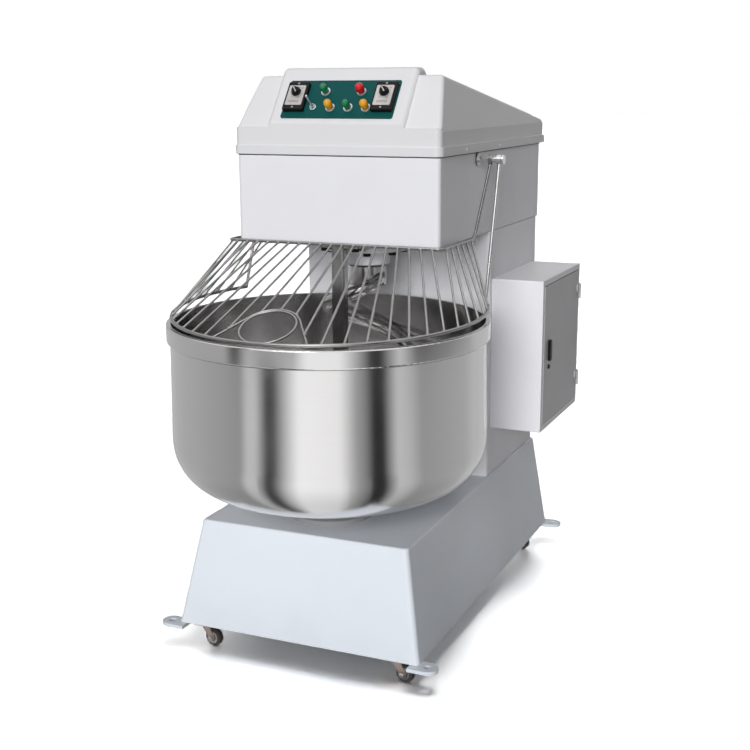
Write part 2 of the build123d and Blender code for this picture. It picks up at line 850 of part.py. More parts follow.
toggle_pin = panel_face.from_local_coords(Vector(toggle_x, button_row_lower, toggle_pivot))
with BuildPart() as toggle_lever:
    with BuildSketch(panel_face.offset(toggle_pivot)):
        with Locations(toggle_spot):
            Circle(toggle_root_radius)
    with BuildSketch(panel_face.offset(toggle_pivot + toggle_length)):
        with Locations(toggle_spot):
            Circle(toggle_tip_radius)
    loft()
    fillet(toggle_lever.edges().sort_by(panel_normal)[-1], toggle_tip_soft)
    with BuildSketch(Plane(origin=toggle_pin, z_dir=(1, 0, 0))):
        Circle(toggle_pin_radius)
    extrude(amount=toggle_pin_half, both=True)
write(toggle_lever.part, "toggle_lever")

# Spindle housing with its bolts, shaft, hook and breaker bar
flange_bottom = head_bottom - flange_thick
with BuildPart() as spindle_housing:
    with BuildSketch(spindle_section):
        with BuildLine():
            Polyline(
                (shaft_radius + seat_gap, boss_bottom),
                (boss_radius, boss_bottom),
                (boss_radius, flange_bottom),
                (flange_radius, flange_bottom),
                (flange_radius, head_bottom),
                (neck_radius, head_bottom),
                (neck_radius, neck_top),
                (shaft_radius + seat_gap, neck_top),
                close=True,
            )
        make_face()
    revolve(axis=spindle_axis)
    fillet(spindle_housing.edges().filter_by_position(Axis.Z, boss_bottom, flange_bottom), housing_edge)
write(spindle_housing.part, "spindle_housing")

bar_bolt_span_x = bar_flange_width - 2 * bar_bolt_inset
bar_bolt_span_y = bar_flange_depth - 2 * bar_bolt_inset
with BuildPart() as head_bolts:
    with BuildSketch(Plane.XY.offset(flange_bottom - bolt_head)):
        with Locations((0, spindle_y)):
            with PolarLocations(bolt_circle, bolt_count, start_angle=180 / bolt_count):
                RegularPolygon(bolt_head_flats / 2, 6, major_radius=False)
    extrude(amount=bolt_head)
    with BuildSketch(Plane.XY.offset(head_bottom - bar_flange_thick - bolt_head)):
        with Locations((0, bar_flange_y)):
            with GridLocations(bar_bolt_span_x, bar_bolt_span_y, 2, 2):
                RegularPolygon(bolt_head_flats / 2, 6, major_radius=False)
    extrude(amount=bolt_head)
write(head_bolts.part, "head_bolts")

spindle_pulley_top = spindle_pulley_bottom + drive_width
with BuildPart() as spindle_shaft:
    with BuildSketch(Plane.XY.offset(hub_top)):
        with Locations((0, spindle_y)):
            Circle(shaft_radius)
    extrude(amount=spindle_pulley_top + shaft_proud - hub_top)
write(spindle_shaft.part, "spindle_shaft")


def hook_station(share):
    """A point on the hook's centre line, by its share of the run from hub to tip."""
    angle = -360 * hook_turns * share
    radius = hook_start_radius
    radius += (hook_radius - hook_start_radius) * sin(radians(90 * min(share / hook_spread, 1)))
    curl = max(share - hook_curl, 0) / (1 - hook_curl)
    radius *= 1 - hook_tip * curl ** 2
    height = hook_top - (hook_top - hook_bottom) * share ** hook_drop
    return (radius * cos(radians(angle)), spindle_y + radius * sin(radians(angle)), height)


with BuildPart() as spiral_hook:
    with BuildSketch(Plane.XY.offset(hub_bottom)):
        with Locations((0, spindle_y)):
            Circle(hub_radius)
    extrude(amount=hub_top - hub_bottom)
    fillet(spiral_hook.edges(), hub_edge)
    with BuildLine() as hook_line:
        Spline(*[hook_station(step / (hook_stations - 1)) for step in range(hook_stations)])
    with BuildSketch(Plane(origin=hook_line.line @ 0, z_dir=hook_line.line % 0)):
        Circle(hook_bar)
    sweep()
    with Locations(hook_line.line @ 1):
        Sphere(hook_bar)
write(spiral_hook.part, "spiral_hook")

with BuildPart() as breaker_bar:
    with BuildSketch(Plane.XY.offset(bar_bottom)):
        with Locations((0, bar_y)):
            RectangleRounded(bar_width, bar_depth, bar_soft)
    extrude(amount=head_bottom - bar_bottom)
    fillet(breaker_bar.edges().group_by(Axis.Z)[0], bar_soft)
    with BuildSketch(Plane.XY.offset(head_bottom - bar_flange_thick)):
        with Locations((0, bar_flange_y)):
            RectangleRounded(bar_flange_width, bar_flange_depth, bar_soft)
    extrude(amount=bar_flange_thick)
write(breaker_bar.part, "breaker_bar")


# Belt drives
def pulley(radius, bore, bottom, centre_y):
    """A grooved pulley; a large one has a thin web between hub and rim."""
    section = Plane(origin=(0, centre_y, 0), x_dir=(1, 0, 0), z_dir=(0, -1, 0))
    turning = Axis((0, centre_y, 0), (0, 0, 1))
    with BuildPart() as wheel:
        with BuildSketch(Plane.XY.offset(bottom)):
            with Locations((0, centre_y)):
                Circle(radius)
                Circle(bore, mode=Mode.SUBTRACT)
        extrude(amount=drive_width)
        with BuildSketch(section):
            for step in range(groove_count):
                middle = bottom + drive_width / 2 + (step - (groove_count - 1) / 2) * groove_pitch
                with BuildLine():
                    Polyline(
                        (radius, middle - groove_width / 2),
                        (radius, middle + groove_width / 2),
                        (radius - groove_depth, middle + groove_floor / 2),
                        (radius - groove_depth, middle - groove_floor / 2),
                        close=True,
                    )
                make_face()
        revolve(axis=turning, mode=Mode.SUBTRACT)
        hollow = radius - groove_depth - 2 * pulley_web - 2 * bore
        if hollow > pulley_web:
            upper = bottom + (drive_width + pulley_web) / 2
            with BuildSketch(Plane.XY.offset(bottom), Plane.XY.offset(upper)):
                with Locations((0, centre_y)):
                    Circle(radius - groove_depth - pulley_web)
                    Circle(2 * bore, mode=Mode.SUBTRACT)
            extrude(amount=(drive_width - pulley_web) / 2, mode=Mode.SUBTRACT)
    return wheel.part


def belts(first_radius, first_y, second_radius, second_y, bottom):
    """Belts that lie in the grooves of two pulleys."""
    depth = belt_sink + belt_thick
    width = groove_width - (groove_width - groove_floor) * depth / groove_depth - 2 * belt_gap
    heights = []
    for step in range(groove_count):
        middle = bottom + drive_width / 2 + (step - (groove_count - 1) / 2) * groove_pitch
        heights.append(Plane.XY.offset(middle - width / 2))
    with BuildPart() as loops:
        for inset, mode in ((belt_sink, Mode.ADD), (depth, Mode.SUBTRACT)):
            with BuildSketch(*heights):
                with Locations((0, first_y)):
                    Circle(first_radius - inset)
                with Locations((0, second_y)):
                    Circle(second_radius - inset)
                make_hull()
            extrude(amount=width, mode=mode)
    return loops.part


def motor(scale):
    """A flanged motor with cooling fins and a fan cowl, its flange face at the origin, its body below."""
    body_radius = motor_body_radius * scale
    length = motor_length * scale
    flange = motor_flange_thick * scale
    cowl = motor_cowl * scale
    with BuildPart() as machine:
        with BuildSketch():
            Circle(motor_flange_radius * scale)
        extrude(amount=-flange)
        with BuildSketch():
            Circle(body_radius)
        extrude(amount=-length)
        with BuildSketch(Plane.XY.offset(-flange)):
            with PolarLocations(body_radius, motor_fin_count):
                Rectangle(2 * (motor_fin_radius * scale - body_radius), motor_fin_thick * scale)
        extrude(amount=flange + cowl - length)
        with BuildSketch(Plane.XY.offset(-length)):
            Circle(motor_fin_radius * scale)
        extrude(amount=cowl)
        with BuildSketch():
            Circle(motor_shaft * scale + seat_gap)
        extrude(amount=-length / 3, mode=Mode.SUBTRACT)
    return machine.part


def motor_pulley(radius, shaft, bottom, centre_y, shaft_end):
    """A small pulley with the motor shaft that carries it."""
    with BuildPart() as driver:
        add(pulley(radius, shaft, bottom, centre_y))
        with BuildSketch(Plane.XY.offset(bottom)):
            with Locations((0, centre_y)):
                Circle(shaft)
        extrude(amount=drive_width)
        with BuildSketch(Plane.XY.offset(bottom + drive_width / 2)):
            with Locations((0, centre_y)):
                Circle(shaft)
        extrude(amount=shaft_end - bottom - drive_width / 2)
    return driver.part


spiral_shaft_end = head_bottom - motor_length / 4
bowl_motor_shaft = motor_shaft * bowl_motor_scale
bowl_shaft_end = base_top + motor_length * bowl_motor_scale / 4
spindle_seat = shaft_radius + seat_gap / 2
bowl_seat = bowl_shaft_radius + seat_gap / 2
write(pulley(spindle_pulley_radius, spindle_seat, spindle_pulley_bottom, spindle_y), "spindle_pulley")
write(
    motor_pulley(motor_pulley_radius, motor_shaft, spindle_pulley_bottom, motor_y, spiral_shaft_end),
    "spiral_motor_pulley",
)
write(
    belts(spindle_pulley_radius, spindle_y, motor_pulley_radius, motor_y, spindle_pulley_bottom),
    "spiral_belts",
)
write(motor(1.0), "spiral_motor", (0, motor_y, head_bottom))
write(pulley(bowl_pulley_radius, bowl_seat, bowl_pulley_bottom, 0), "bowl_pulley")
write(
    motor_pulley(
        bowl_motor_pulley_radius, bowl_motor_shaft, bowl_pulley_bottom, bowl_motor_y, bowl_shaft_end
    ),
    "bowl_motor_pulley",
)
write(
    belts(bowl_pulley_radius, 0, bowl_motor_pulley_radius, bowl_motor_y, bowl_pulley_bottom),
    "bowl_belts",
)
upright_motor = motor(bowl_motor_scale).rotate(Axis.X, 180)
write(upright_motor, "bowl_motor", (0, bowl_motor_y, base_top))

# Bowl with its rim band, hub and pedestal
bowl_neck_z = bowl_rim_top - bowl_rim_height - bowl_neck
with BuildPart() as bowl_shell:
    with BuildSketch(Plane.XZ):
        with BuildLine():
            outer = FilletPolyline(
                (0, bowl_bottom),
                (bowl_wall_radius + bowl_swell, bowl_bottom),
                (bowl_wall_radius, bowl_neck_z),
                (bowl_wall_radius, bowl_rim_top),
                radius=bowl_bend,
            )
            inner = FilletPolyline(
                (0, bowl_bottom + bowl_sheet),
                (bowl_wall_radius + bowl_swell - bowl_sheet, bowl_bottom + bowl_sheet),
                (bowl_wall_radius - bowl_sheet, bowl_neck_z),
                (bowl_wall_radius - bowl_sheet, bowl_rim_top),
                radius=bowl_bend - bowl_sheet,
            )
            Line(outer @ 0, inner @ 0)
            Line(outer @ 1, inner @ 1)
        make_face()
    revolve(axis=Axis.Z)
write(bowl_shell.part, "bowl_shell")

with BuildPart() as bowl_rim_band:
    with BuildSketch(Plane.XY.offset(bowl_rim_top - bowl_rim_height)):
        Circle(bowl_rim_radius)
        Circle(bowl_wall_radius + seat_gap, mode=Mode.SUBTRACT)
    extrude(amount=bowl_rim_height)
    outer_edges = bowl_rim_band.edges().filter_by(GeomType.CIRCLE).group_by(SortBy.RADIUS)[-1]
    fillet(outer_edges, rim_edge)
write(bowl_rim_band.part, "bowl_rim_band")

with BuildPart() as bowl_hub:
    with BuildSketch(Plane.XZ):
        with BuildLine():
            Polyline(
                (0, bowl_bottom),
                (bowl_hub_radius, bowl_bottom),
                (bowl_hub_radius, bowl_bottom - bowl_hub_thick),
                (bowl_boss_radius, bowl_bottom - 1.5 * bowl_hub_thick),
                (bowl_boss_radius, pedestal_top + pedestal_gap),
                (bowl_shaft_radius, pedestal_top + pedestal_gap),
                (bowl_shaft_radius, bowl_pulley_bottom - shaft_proud),
                (0, bowl_pulley_bottom - shaft_proud),
                close=True,
            )
        make_face()
    revolve(axis=Axis.Z)
write(bowl_hub.part, "bowl_hub")

with BuildPart() as bowl_pedestal:
    with BuildSketch(Plane.XZ):
        with BuildLine():
            Polyline(
                (bowl_shaft_radius + seat_gap, pedestal_bottom),
                (pedestal_boss, pedestal_bottom),
                (pedestal_boss, base_top),
                (pedestal_radius, base_top),
                (pedestal_radius, base_top + pedestal_thick),
                (pedestal_boss + pedestal_shoulder, base_top + pedestal_thick + pedestal_shoulder),
                (pedestal_boss, pedestal_top),
                (bowl_shaft_radius + seat_gap, pedestal_top),
                close=True,
            )
        make_face()
    revolve(axis=Axis.Z)
write(bowl_pedestal.part, "bowl_pedestal")

# Wire guard
ring_start = 180 - ring_end_angle
ring_out = (ring_point(ring_start) - ring_plane.origin).normalized()
ring_section = Plane(origin=ring_point(ring_start), x_dir=ring_out, z_dir=ring_plane.z_dir.cross(ring_out))
with BuildPart() as guard_ring:
    with BuildSketch(ring_section):
        Circle(ring_wire)
    revolve(axis=Axis(ring_plane.origin, ring_plane.z_dir), revolution_arc=180 + 2 * ring_end_angle)
write(guard_ring.part, "guard_ring")

with BuildPart() as guard_arms:
    for side in (-1, 1):
        foot = ring_point(90 - side * (90 - ring_end_angle))
        eye = Vector(side * arm_eye_x, pivot_y, pivot_z)
        add(tube_between(foot, eye, ring_wire))
        with Locations(foot):
            Sphere(ring_wire)
        with BuildSketch(Plane.YZ.offset(side * arm_eye_x)):
            with Locations((pivot_y, pivot_z)):
                Circle(eye_radius)
        extrude(amount=eye_width / 2, both=True)
    with BuildSketch(Plane.YZ):
        with Locations((pivot_y, pivot_z)):
            Circle(pivot_radius + seat_gap / 2)
    extrude(amount=pivot_reach, both=True, mode=Mode.SUBTRACT)
    add(guard_ring.part, mode=Mode.SUBTRACT)
write(guard_arms.part, "guard_arms")

with BuildPart() as guard_rail:
    with BuildLine() as rail_line:
        FilletPolyline(
            (-rail_eye_x, pivot_y, pivot_z),
            (-rail_half, rail_rear_y, rail_z),
            (-rail_half, rail_front_y, rail_z),
            (rail_half, rail_front_y, rail_z),
            (rail_half, rail_rear_y, rail_z),
            (rail_eye_x, pivot_y, pivot_z),
            radius=[rail_bend, rail_corner, rail_corner, rail_bend],
        )
    with BuildSketch(Plane(origin=rail_line.line @ 0, z_dir=rail_line.line % 0)):
        Circle(rail_wire)
    sweep()
    with BuildSketch(Plane.YZ.offset(rail_eye_x), Plane.YZ.offset(-rail_eye_x)):
        with Locations((pivot_y, pivot_z)):
            Circle(eye_radius)
    extrude(amount=eye_width / 2, both=True)
    with BuildSketch(Plane.YZ):
        with Locations((pivot_y, pivot_z)):
            Circle(pivot_radius + seat_gap / 2)
    extrude(amount=pivot_reach, both=True, mode=Mode.SUBTRACT)
write(guard_rail.part, "guard_rail")

ring_front = ring_point(-90)
slope = (Vector(0, rail_front_y, rail_z) - ring_front).normalized()
feed_plane = Plane(
    origin=ring_front + slope * feed_ring_up,
    x_dir=(1, 0, 0),
    z_dir=Vector(1, 0, 0).cross(slope),
)
arch_swing = degrees(atan2(arch_half, (ring_radius ** 2 - arch_half ** 2) ** 0.5))
arch_foot = ring_point(-90 + arch_swing)
arch_origin = Vector(0, arch_foot.Y, arch_foot.Z)
arch_up = (ring_front + slope * arch_top_up - arch_origin).normalized()
arch_plane = Plane(origin=arch_origin, x_dir=(1, 0, 0), z_dir=Vector(1, 0, 0).cross(arch_up))
with BuildPart() as guard_feed_ring:
    with Locations(feed_plane):
        Torus(feed_ring_radius, feed_wire)
    with BuildLine(arch_plane) as arch_line:
        FilletPolyline((-arch_half, 0), (0, arch_apex), (arch_half, 0), radius=arch_radius)
    with BuildSketch(Plane(origin=arch_line.line @ 0, z_dir=arch_line.line % 0)):
        Circle(feed_wire)
    sweep()
    add(guard_ring.part, mode=Mode.SUBTRACT)
write(guard_feed_ring.part, "guard_feed_ring")

rods = []
for step in range(front_rods):
    count = step - (front_rods - 1) / 2
    top = Vector(count * front_rod_pitch, rail_front_y, rail_z)
    rods.append(tube_between(ring_point(-90 + count * foot_step), top, rod_wire))
for step in range(side_rods):
    swing = ((front_rods + 1) / 2 + step) * foot_step
    depth = side_rod_front_y + step * side_rod_pitch
    rods.append(tube_between(ring_point(-90 + swing), Vector(rail_half, depth, rail_z), rod_wire))
    rods.append(tube_between(ring_point(-90 - swing), Vector(-rail_half, depth, rail_z), rod_wire))
with BuildPart() as guard_rods:
    add(rods)
    with BuildSketch(arch_plane):
        with BuildLine():
            arch = FilletPolyline((-arch_half, 0), (0, arch_apex), (arch_half, 0), radius=arch_radius)
            Polyline(arch @ 1, (arch_half, -arch_half / 2), (-arch_half, -arch_half / 2), arch @ 0)
        make_face()
    extrude(amount=arch_half / 2, both=True, mode=Mode.SUBTRACT)
    add(guard_ring.part, mode=Mode.SUBTRACT)
    add(guard_rail.part, mode=Mode.SUBTRACT)
    add(guard_feed_ring.part, mode=Mode.SUBTRACT)
write(guard_rods.part, "guard_rods")

with BuildPart() as guard_shaft:
    with BuildSketch(Plane.YZ):
        with Locations((pivot_y, pivot_z)):
            Circle(pivot_radius)
    extrude(amount=pivot_reach, both=True)
    with BuildSketch(Plane.YZ.offset(pivot_reach - collar_width), Plane.YZ.offset(-pivot_reach)):
        with Locations((pivot_y, pivot_z)):
            Circle(collar_radius)
    extrude(amount=collar_width)
    with BuildSketch(Plane.YZ.offset(switch_x)):
        with Locations((pivot_y, pivot_z)):
            Circle(cam_radius)
        with Locations((pivot_y, pivot_z - cam_radius)):
            Rectangle(2 * cam_radius, cam_radius / 2, mode=Mode.SUBTRACT)
    extrude(amount=cam_width)
write(guard_shaft.part, "guard_shaft")

with BuildPart() as guard_bushes:
    with BuildSketch(Plane.YZ.offset(head_half), Plane.YZ.offset(-head_half - bush_flange)):
        with Locations((pivot_y, pivot_z)):
            Circle(bush_flange_radius)
    extrude(amount=bush_flange)
    with BuildSketch(Plane.YZ.offset(head_half - 2 * bush_flange), Plane.YZ.offset(-head_half)):
        with Locations((pivot_y, pivot_z)):
            Circle(bush_radius)
    extrude(amount=2 * bush_flange)
    with BuildSketch(Plane.YZ):
        with Locations((pivot_y, pivot_z)):
            Circle(pivot_radius + seat_gap)
    extrude(amount=pivot_reach, both=True, mode=Mode.SUBTRACT)
write(guard_bushes.part, "guard_bushes")

with BuildPart() as guard_switch:
    wall = head_half - sheet
    with BuildSketch(Plane.YZ.offset(switch_x + cam_width + switch_gap)):
        with Locations((pivot_y + switch_size, pivot_z - switch_size)):
            RectangleRounded(switch_size, 2 * switch_size, switch_corner)
    extrude(amount=wall - switch_x - cam_width - switch_gap)
write(guard_switch.part, "guard_switch")

# Electrical case with its door
case_mid = ((case_front_y + case_rear_y) / 2, (case_bottom + case_top) / 2)
case_width = case_rear_y - case_front_y
case_height = case_top - case_bottom
with BuildPart() as electrical_case:
    with BuildSketch(Plane.YZ.offset(head_half)):
        with Locations(case_mid):
            Rectangle(case_width, case_height)
    extrude(amount=case_face - head_half)
    fillet(electrical_case.edges().filter_by(Axis.X), case_edge)
    with BuildSketch(Plane.YZ.offset(head_half + case_sheet)):
        with Locations(case_mid):
            Rectangle(case_width - 2 * case_sheet, case_height - 2 * case_sheet)
    extrude(amount=case_face - head_half - 2 * case_sheet, mode=Mode.SUBTRACT)
    with BuildSketch(Plane.YZ.offset(case_face)):
        with Locations(case_mid):
            Rectangle(case_width - 2 * case_rim, case_height - 2 * case_rim)
    extrude(amount=-2 * case_sheet, mode=Mode.SUBTRACT)
    with BuildSketch(Plane.XY.offset(case_bottom)):
        with Locations((gland_x, gland_y)):
            Circle(gland_thread_radius + seat_gap)
    extrude(amount=case_sheet, mode=Mode.SUBTRACT)
write(electrical_case.part, "electrical_case")

door_face = case_face + door_proud
door_width = case_width - 2 * case_rim - 2 * door_gap
door_height = case_height - 2 * case_rim - 2 * door_gap
hinge_heights = (case_mid[1] - hinge_offset, case_mid[1] + hinge_offset)
with BuildPart() as electrical_door:
    with BuildSketch(Plane.YZ.offset(door_face - door_lip)):
        with Locations(case_mid):
            Rectangle(door_width, door_height)
    extrude(amount=door_lip)
    with BuildSketch(Plane.YZ.offset(door_face - door_lip)):
        with Locations(case_mid):
            Rectangle(door_width - 2 * case_sheet, door_height - 2 * case_sheet)
    extrude(amount=door_lip - case_sheet, mode=Mode.SUBTRACT)
    with BuildSketch(Plane.YZ.offset(door_face)):
        with Locations((handle_y, handle_z + handle_pivot_up)):
            Circle(handle_spindle + seat_gap)
    extrude(amount=-case_sheet, mode=Mode.SUBTRACT)
    for height in hinge_heights:
        with BuildSketch(Plane.XY.offset(height + running_gap / 2)):
            with Locations((hinge_x, hinge_y)):
                Circle(hinge_radius)
            with Locations((door_face, hinge_y)):
                Rectangle(hinge_radius, hinge_tongue, align=(Align.MIN, Align.MAX))
            with Locations((hinge_x, hinge_y)):
                Circle(hinge_pin + seat_gap, mode=Mode.SUBTRACT)
        extrude(amount=hinge_half)
write(electrical_door.part, "electrical_door")

with BuildPart() as door_hinges:
    for height in hinge_heights:
        with BuildSketch(Plane.XY.offset(height - running_gap / 2)):
            with Locations((hinge_x, hinge_y)):
                Circle(hinge_radius)
            with Locations((case_face, hinge_y)):
                Rectangle(hinge_x - case_face, hinge_leaf, align=(Align.MIN, Align.MIN))
        extrude(amount=-hinge_half)
        with BuildSketch(Plane.XY.offset(height - running_gap / 2)):
            with Locations((hinge_x, hinge_y)):
                Circle(hinge_pin)
        extrude(amount=hinge_half)
write(door_hinges.part, "door_hinges")

with BuildPart() as door_handle:
    with BuildSketch(Plane.YZ.offset(door_face + running_gap)):
        with Locations((handle_y, handle_z)):
            RectangleRounded(handle_width, handle_length, handle_corner)
    extrude(amount=handle_thick)
    fillet(door_handle.edges().group_by(Axis.X)[-1], handle_edge)
    with BuildSketch(Plane.YZ.offset(door_face + running_gap)):
        with Locations((handle_y, handle_z + handle_pivot_up)):
            Circle(handle_spindle)
    extrude(amount=-case_sheet - handle_inside)
write(door_handle.part, "door_handle")

with BuildPart() as contactors:
    with BuildSketch(Plane.YZ.offset(head_half + case_sheet)):
        with Locations((case_mid[0], case_mid[1] + contactor_up)):
            with GridLocations(contactor_pitch, 1, contactor_count, 1):
                Rectangle(contactor_width, contactor_height)
    extrude(amount=contactor_body)
    with BuildSketch(Plane.YZ.offset(head_half + case_sheet)):
        with Locations((case_mid[0], case_mid[1] + contactor_up)):
            with GridLocations(contactor_pitch, 1, contactor_count, 1):
                Rectangle(contactor_face_width, contactor_face_height)
    extrude(amount=contactor_depth)
write(contactors.part, "contactors")

with BuildPart() as cable_gland:
    with BuildSketch(Plane.XY.offset(case_bottom)):
        with Locations((gland_x, gland_y)):
            RegularPolygon(gland_radius, 6)
    extrude(amount=-gland_nut)
    with BuildSketch(Plane.XY.offset(case_bottom - gland_nut)):
        with Locations((gland_x, gland_y)):
            Circle(gland_cap_radius)
    extrude(amount=-gland_cap, taper=gland_taper)
    with BuildSketch(Plane.XY.offset(case_bottom)):
        with Locations((gland_x, gland_y)):
            Circle(gland_thread_radius)
    extrude(amount=gland_thread)
    with BuildSketch(Plane.XY.offset(case_bottom - gland_nut - gland_cap)):
        with Locations((gland_x, gland_y)):
            Circle(gland_bore)
    extrude(amount=gland_nut + gland_cap + gland_thread, mode=Mode.SUBTRACT)
write(cable_gland.part, "cable_gland")
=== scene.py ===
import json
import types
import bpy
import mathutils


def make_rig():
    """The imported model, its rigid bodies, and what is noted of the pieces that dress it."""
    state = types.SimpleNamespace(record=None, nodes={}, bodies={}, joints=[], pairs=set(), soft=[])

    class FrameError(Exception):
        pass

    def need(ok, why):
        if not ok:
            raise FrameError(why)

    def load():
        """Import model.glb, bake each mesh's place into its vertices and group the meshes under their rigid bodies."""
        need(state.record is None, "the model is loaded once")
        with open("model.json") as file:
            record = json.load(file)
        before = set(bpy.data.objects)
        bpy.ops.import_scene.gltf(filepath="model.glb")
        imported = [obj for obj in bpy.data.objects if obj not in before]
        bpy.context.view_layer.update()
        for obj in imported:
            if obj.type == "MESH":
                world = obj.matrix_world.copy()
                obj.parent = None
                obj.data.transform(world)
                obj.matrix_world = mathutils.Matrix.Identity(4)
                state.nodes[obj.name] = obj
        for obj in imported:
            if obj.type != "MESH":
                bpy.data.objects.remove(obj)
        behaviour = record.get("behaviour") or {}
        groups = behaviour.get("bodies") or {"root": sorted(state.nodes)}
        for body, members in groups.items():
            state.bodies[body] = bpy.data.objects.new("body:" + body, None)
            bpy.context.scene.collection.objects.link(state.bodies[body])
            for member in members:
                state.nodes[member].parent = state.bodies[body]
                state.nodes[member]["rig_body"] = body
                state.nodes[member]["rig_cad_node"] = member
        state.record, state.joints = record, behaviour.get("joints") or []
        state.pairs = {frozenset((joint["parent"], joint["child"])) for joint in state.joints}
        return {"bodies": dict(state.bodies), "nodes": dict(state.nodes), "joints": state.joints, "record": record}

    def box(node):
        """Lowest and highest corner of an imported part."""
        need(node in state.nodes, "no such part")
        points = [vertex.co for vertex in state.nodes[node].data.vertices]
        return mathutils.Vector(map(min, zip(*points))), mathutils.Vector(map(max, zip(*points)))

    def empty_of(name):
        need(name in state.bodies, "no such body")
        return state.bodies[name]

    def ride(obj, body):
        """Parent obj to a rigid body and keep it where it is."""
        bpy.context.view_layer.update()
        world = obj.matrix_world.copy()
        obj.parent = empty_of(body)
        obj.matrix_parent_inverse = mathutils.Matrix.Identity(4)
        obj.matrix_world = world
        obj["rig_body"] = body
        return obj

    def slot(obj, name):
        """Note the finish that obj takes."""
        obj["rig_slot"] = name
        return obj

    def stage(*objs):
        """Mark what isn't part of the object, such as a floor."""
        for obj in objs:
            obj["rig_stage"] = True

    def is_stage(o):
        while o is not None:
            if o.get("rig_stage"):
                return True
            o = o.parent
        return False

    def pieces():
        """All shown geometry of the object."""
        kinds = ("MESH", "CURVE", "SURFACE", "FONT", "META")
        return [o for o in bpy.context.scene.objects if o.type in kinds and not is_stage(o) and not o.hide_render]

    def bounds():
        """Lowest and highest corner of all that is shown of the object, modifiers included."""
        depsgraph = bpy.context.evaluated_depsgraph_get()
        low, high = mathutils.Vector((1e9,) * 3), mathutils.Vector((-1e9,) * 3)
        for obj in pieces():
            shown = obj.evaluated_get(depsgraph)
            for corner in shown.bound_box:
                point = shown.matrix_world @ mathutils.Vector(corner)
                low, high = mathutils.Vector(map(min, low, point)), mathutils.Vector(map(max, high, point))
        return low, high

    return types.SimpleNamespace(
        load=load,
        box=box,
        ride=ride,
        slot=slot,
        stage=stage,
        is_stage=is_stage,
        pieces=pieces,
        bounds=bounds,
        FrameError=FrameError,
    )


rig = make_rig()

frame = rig.load()

import json
from math import cos, pi, radians, sin
from typing import NamedTuple

import bmesh
import bpy
from bpy.props import FloatProperty, FloatVectorProperty, PointerProperty
from mathutils import Matrix, Vector

bl_info = {
    "name": "Spiral dough mixer",
    "version": (1, 0, 0),
    "blender": (4, 5, 0),
    "location": "View3D > Sidebar > Mixer",
    "description": "Finishes and small fittings of a floor-standing spiral dough mixer",
    "category": "Object",
}

NODES = frame["nodes"]
JOINTS = {joint["name"]: joint for joint in frame["joints"]}
CAD_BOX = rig.bounds()
MILLIMETRE = 0.001


# Strips of card round the bowl, seen only in reflections
class Card(NamedTuple):
    """A strip of card between two bearings, in degrees to the right of the camera, with its tone at each."""

    start: float
    end: float
    tone: float
    end_tone: float


LOW_CARDS = {
    "back wall, left": Card(-180, -100, 0.60, 0.50),
    "side wall, left": Card(-100, -58, 0.50, 0.38),
    "pale card, left": Card(-53, -47, 0.70, 0.70),
    "dark flag, left": Card(-39, -34, 0.05, 0.08),
    "white card": Card(-18, 8, 1.20, 1.10),
    "grey card": Card(18, 24, 0.45, 0.30),
    "dark flag, right": Card(30, 36, 0.03, 0.03),
    "pale card, right": Card(46, 55, 0.70, 0.60),
    "side wall, right": Card(64, 106, 0.40, 0.50),
    "back wall, right": Card(118, 179, 0.60, 0.60),
}
HIGH_CARDS = {
    "wall, left": Card(-180, -67, 0.50, 0.50),
    "dark flag, left": Card(-61, -57, 0.06, 0.06),
    "grey card": Card(-50, -20, 0.50, 0.50),
    "white card": Card(-12, 8, 1.10, 1.10),
    "dark flag, right": Card(27, 33, 0.05, 0.05),
    "pale card, right": Card(46, 46, 0.70, 0.70),
    "dim wall, right": Card(58, 84, 0.10, 0.20),
    "side wall, right": Card(84, 104, 0.20, 0.35),
    "back wall, right": Card(113, 179, 0.60, 0.60),
}
ROOF_CARDS = {
    "roof, left": Card(-180, -48, 1.0, 1.0),
    "skylight": Card(-40, -8, 3.2, 3.2),
    "roof, right": Card(0, 179, 1.0, 1.0),
}
# Radius and height of points along the section of the card, in metres
CARD_OUTLINE = ((0.15, 0.004), (1.2, 0.004), (2.3, 0.004), (2.3, 1.2), (2.3, 2.2), (1.2, 2.8), (0.05, 3.0))


# Places read from the frame
def joint_place(name):
    """A joint's pivot point."""
    return Vector(JOINTS[name]["pos_m"])


def joint_axis(name):
    """A joint's axis."""
    return Vector(JOINTS[name]["axis"]).normalized()


def reach(node, direction):
    """How far a node reaches along a direction: its nearest and farthest point."""
    steps = [vertex.co.dot(direction) for vertex in NODES[node].data.vertices]
    return min(steps), max(steps)


ACROSS = Vector((1, 0, 0))
BACK = Vector((0, 1, 0))
UP = Vector((0, 0, 1))
PANEL_OUT = joint_axis("timer_turn_left")
PANEL_UP = PANEL_OUT.cross(ACROSS)


def panel_place(across, up, out):
    """Where a fitting on the sloping console sits: its face looks out of the panel."""
    spot = ACROSS * across + PANEL_UP * up + PANEL_OUT * out
    turn = Matrix((ACROSS, PANEL_UP, PANEL_OUT)).transposed()
    return Matrix.Translation(spot) @ turn.to_4x4()


def surface(node, spot, direction):
    """The outermost point of a node along a line through a spot."""
    found, place, normal, face = NODES[node].ray_cast(spot + direction, -direction)
    if not found:
        raise ValueError(f"no surface of {node} there")
    return place


def facing(spot, direction):
    """Where a round fitting sits: its axis looks along a direction."""
    return Matrix.Translation(spot) @ direction.to_track_quat("Z", "Y").to_matrix().to_4x4()


# Kinds of value that a user may change
def tint(name, description, default):
    """A colour."""
    return FloatVectorProperty(
        name=name, description=description, subtype="COLOR", size=3, min=0, max=1, default=default
    )


def size(name, description, millimetres):
    """A small length."""
    return FloatProperty(
        name=name, description=description, unit="LENGTH", min=0, default=millimetres * MILLIMETRE
    )


def length(name, description, default):
    """A length in metres."""
    return FloatProperty(name=name, description=description, unit="LENGTH", default=default)


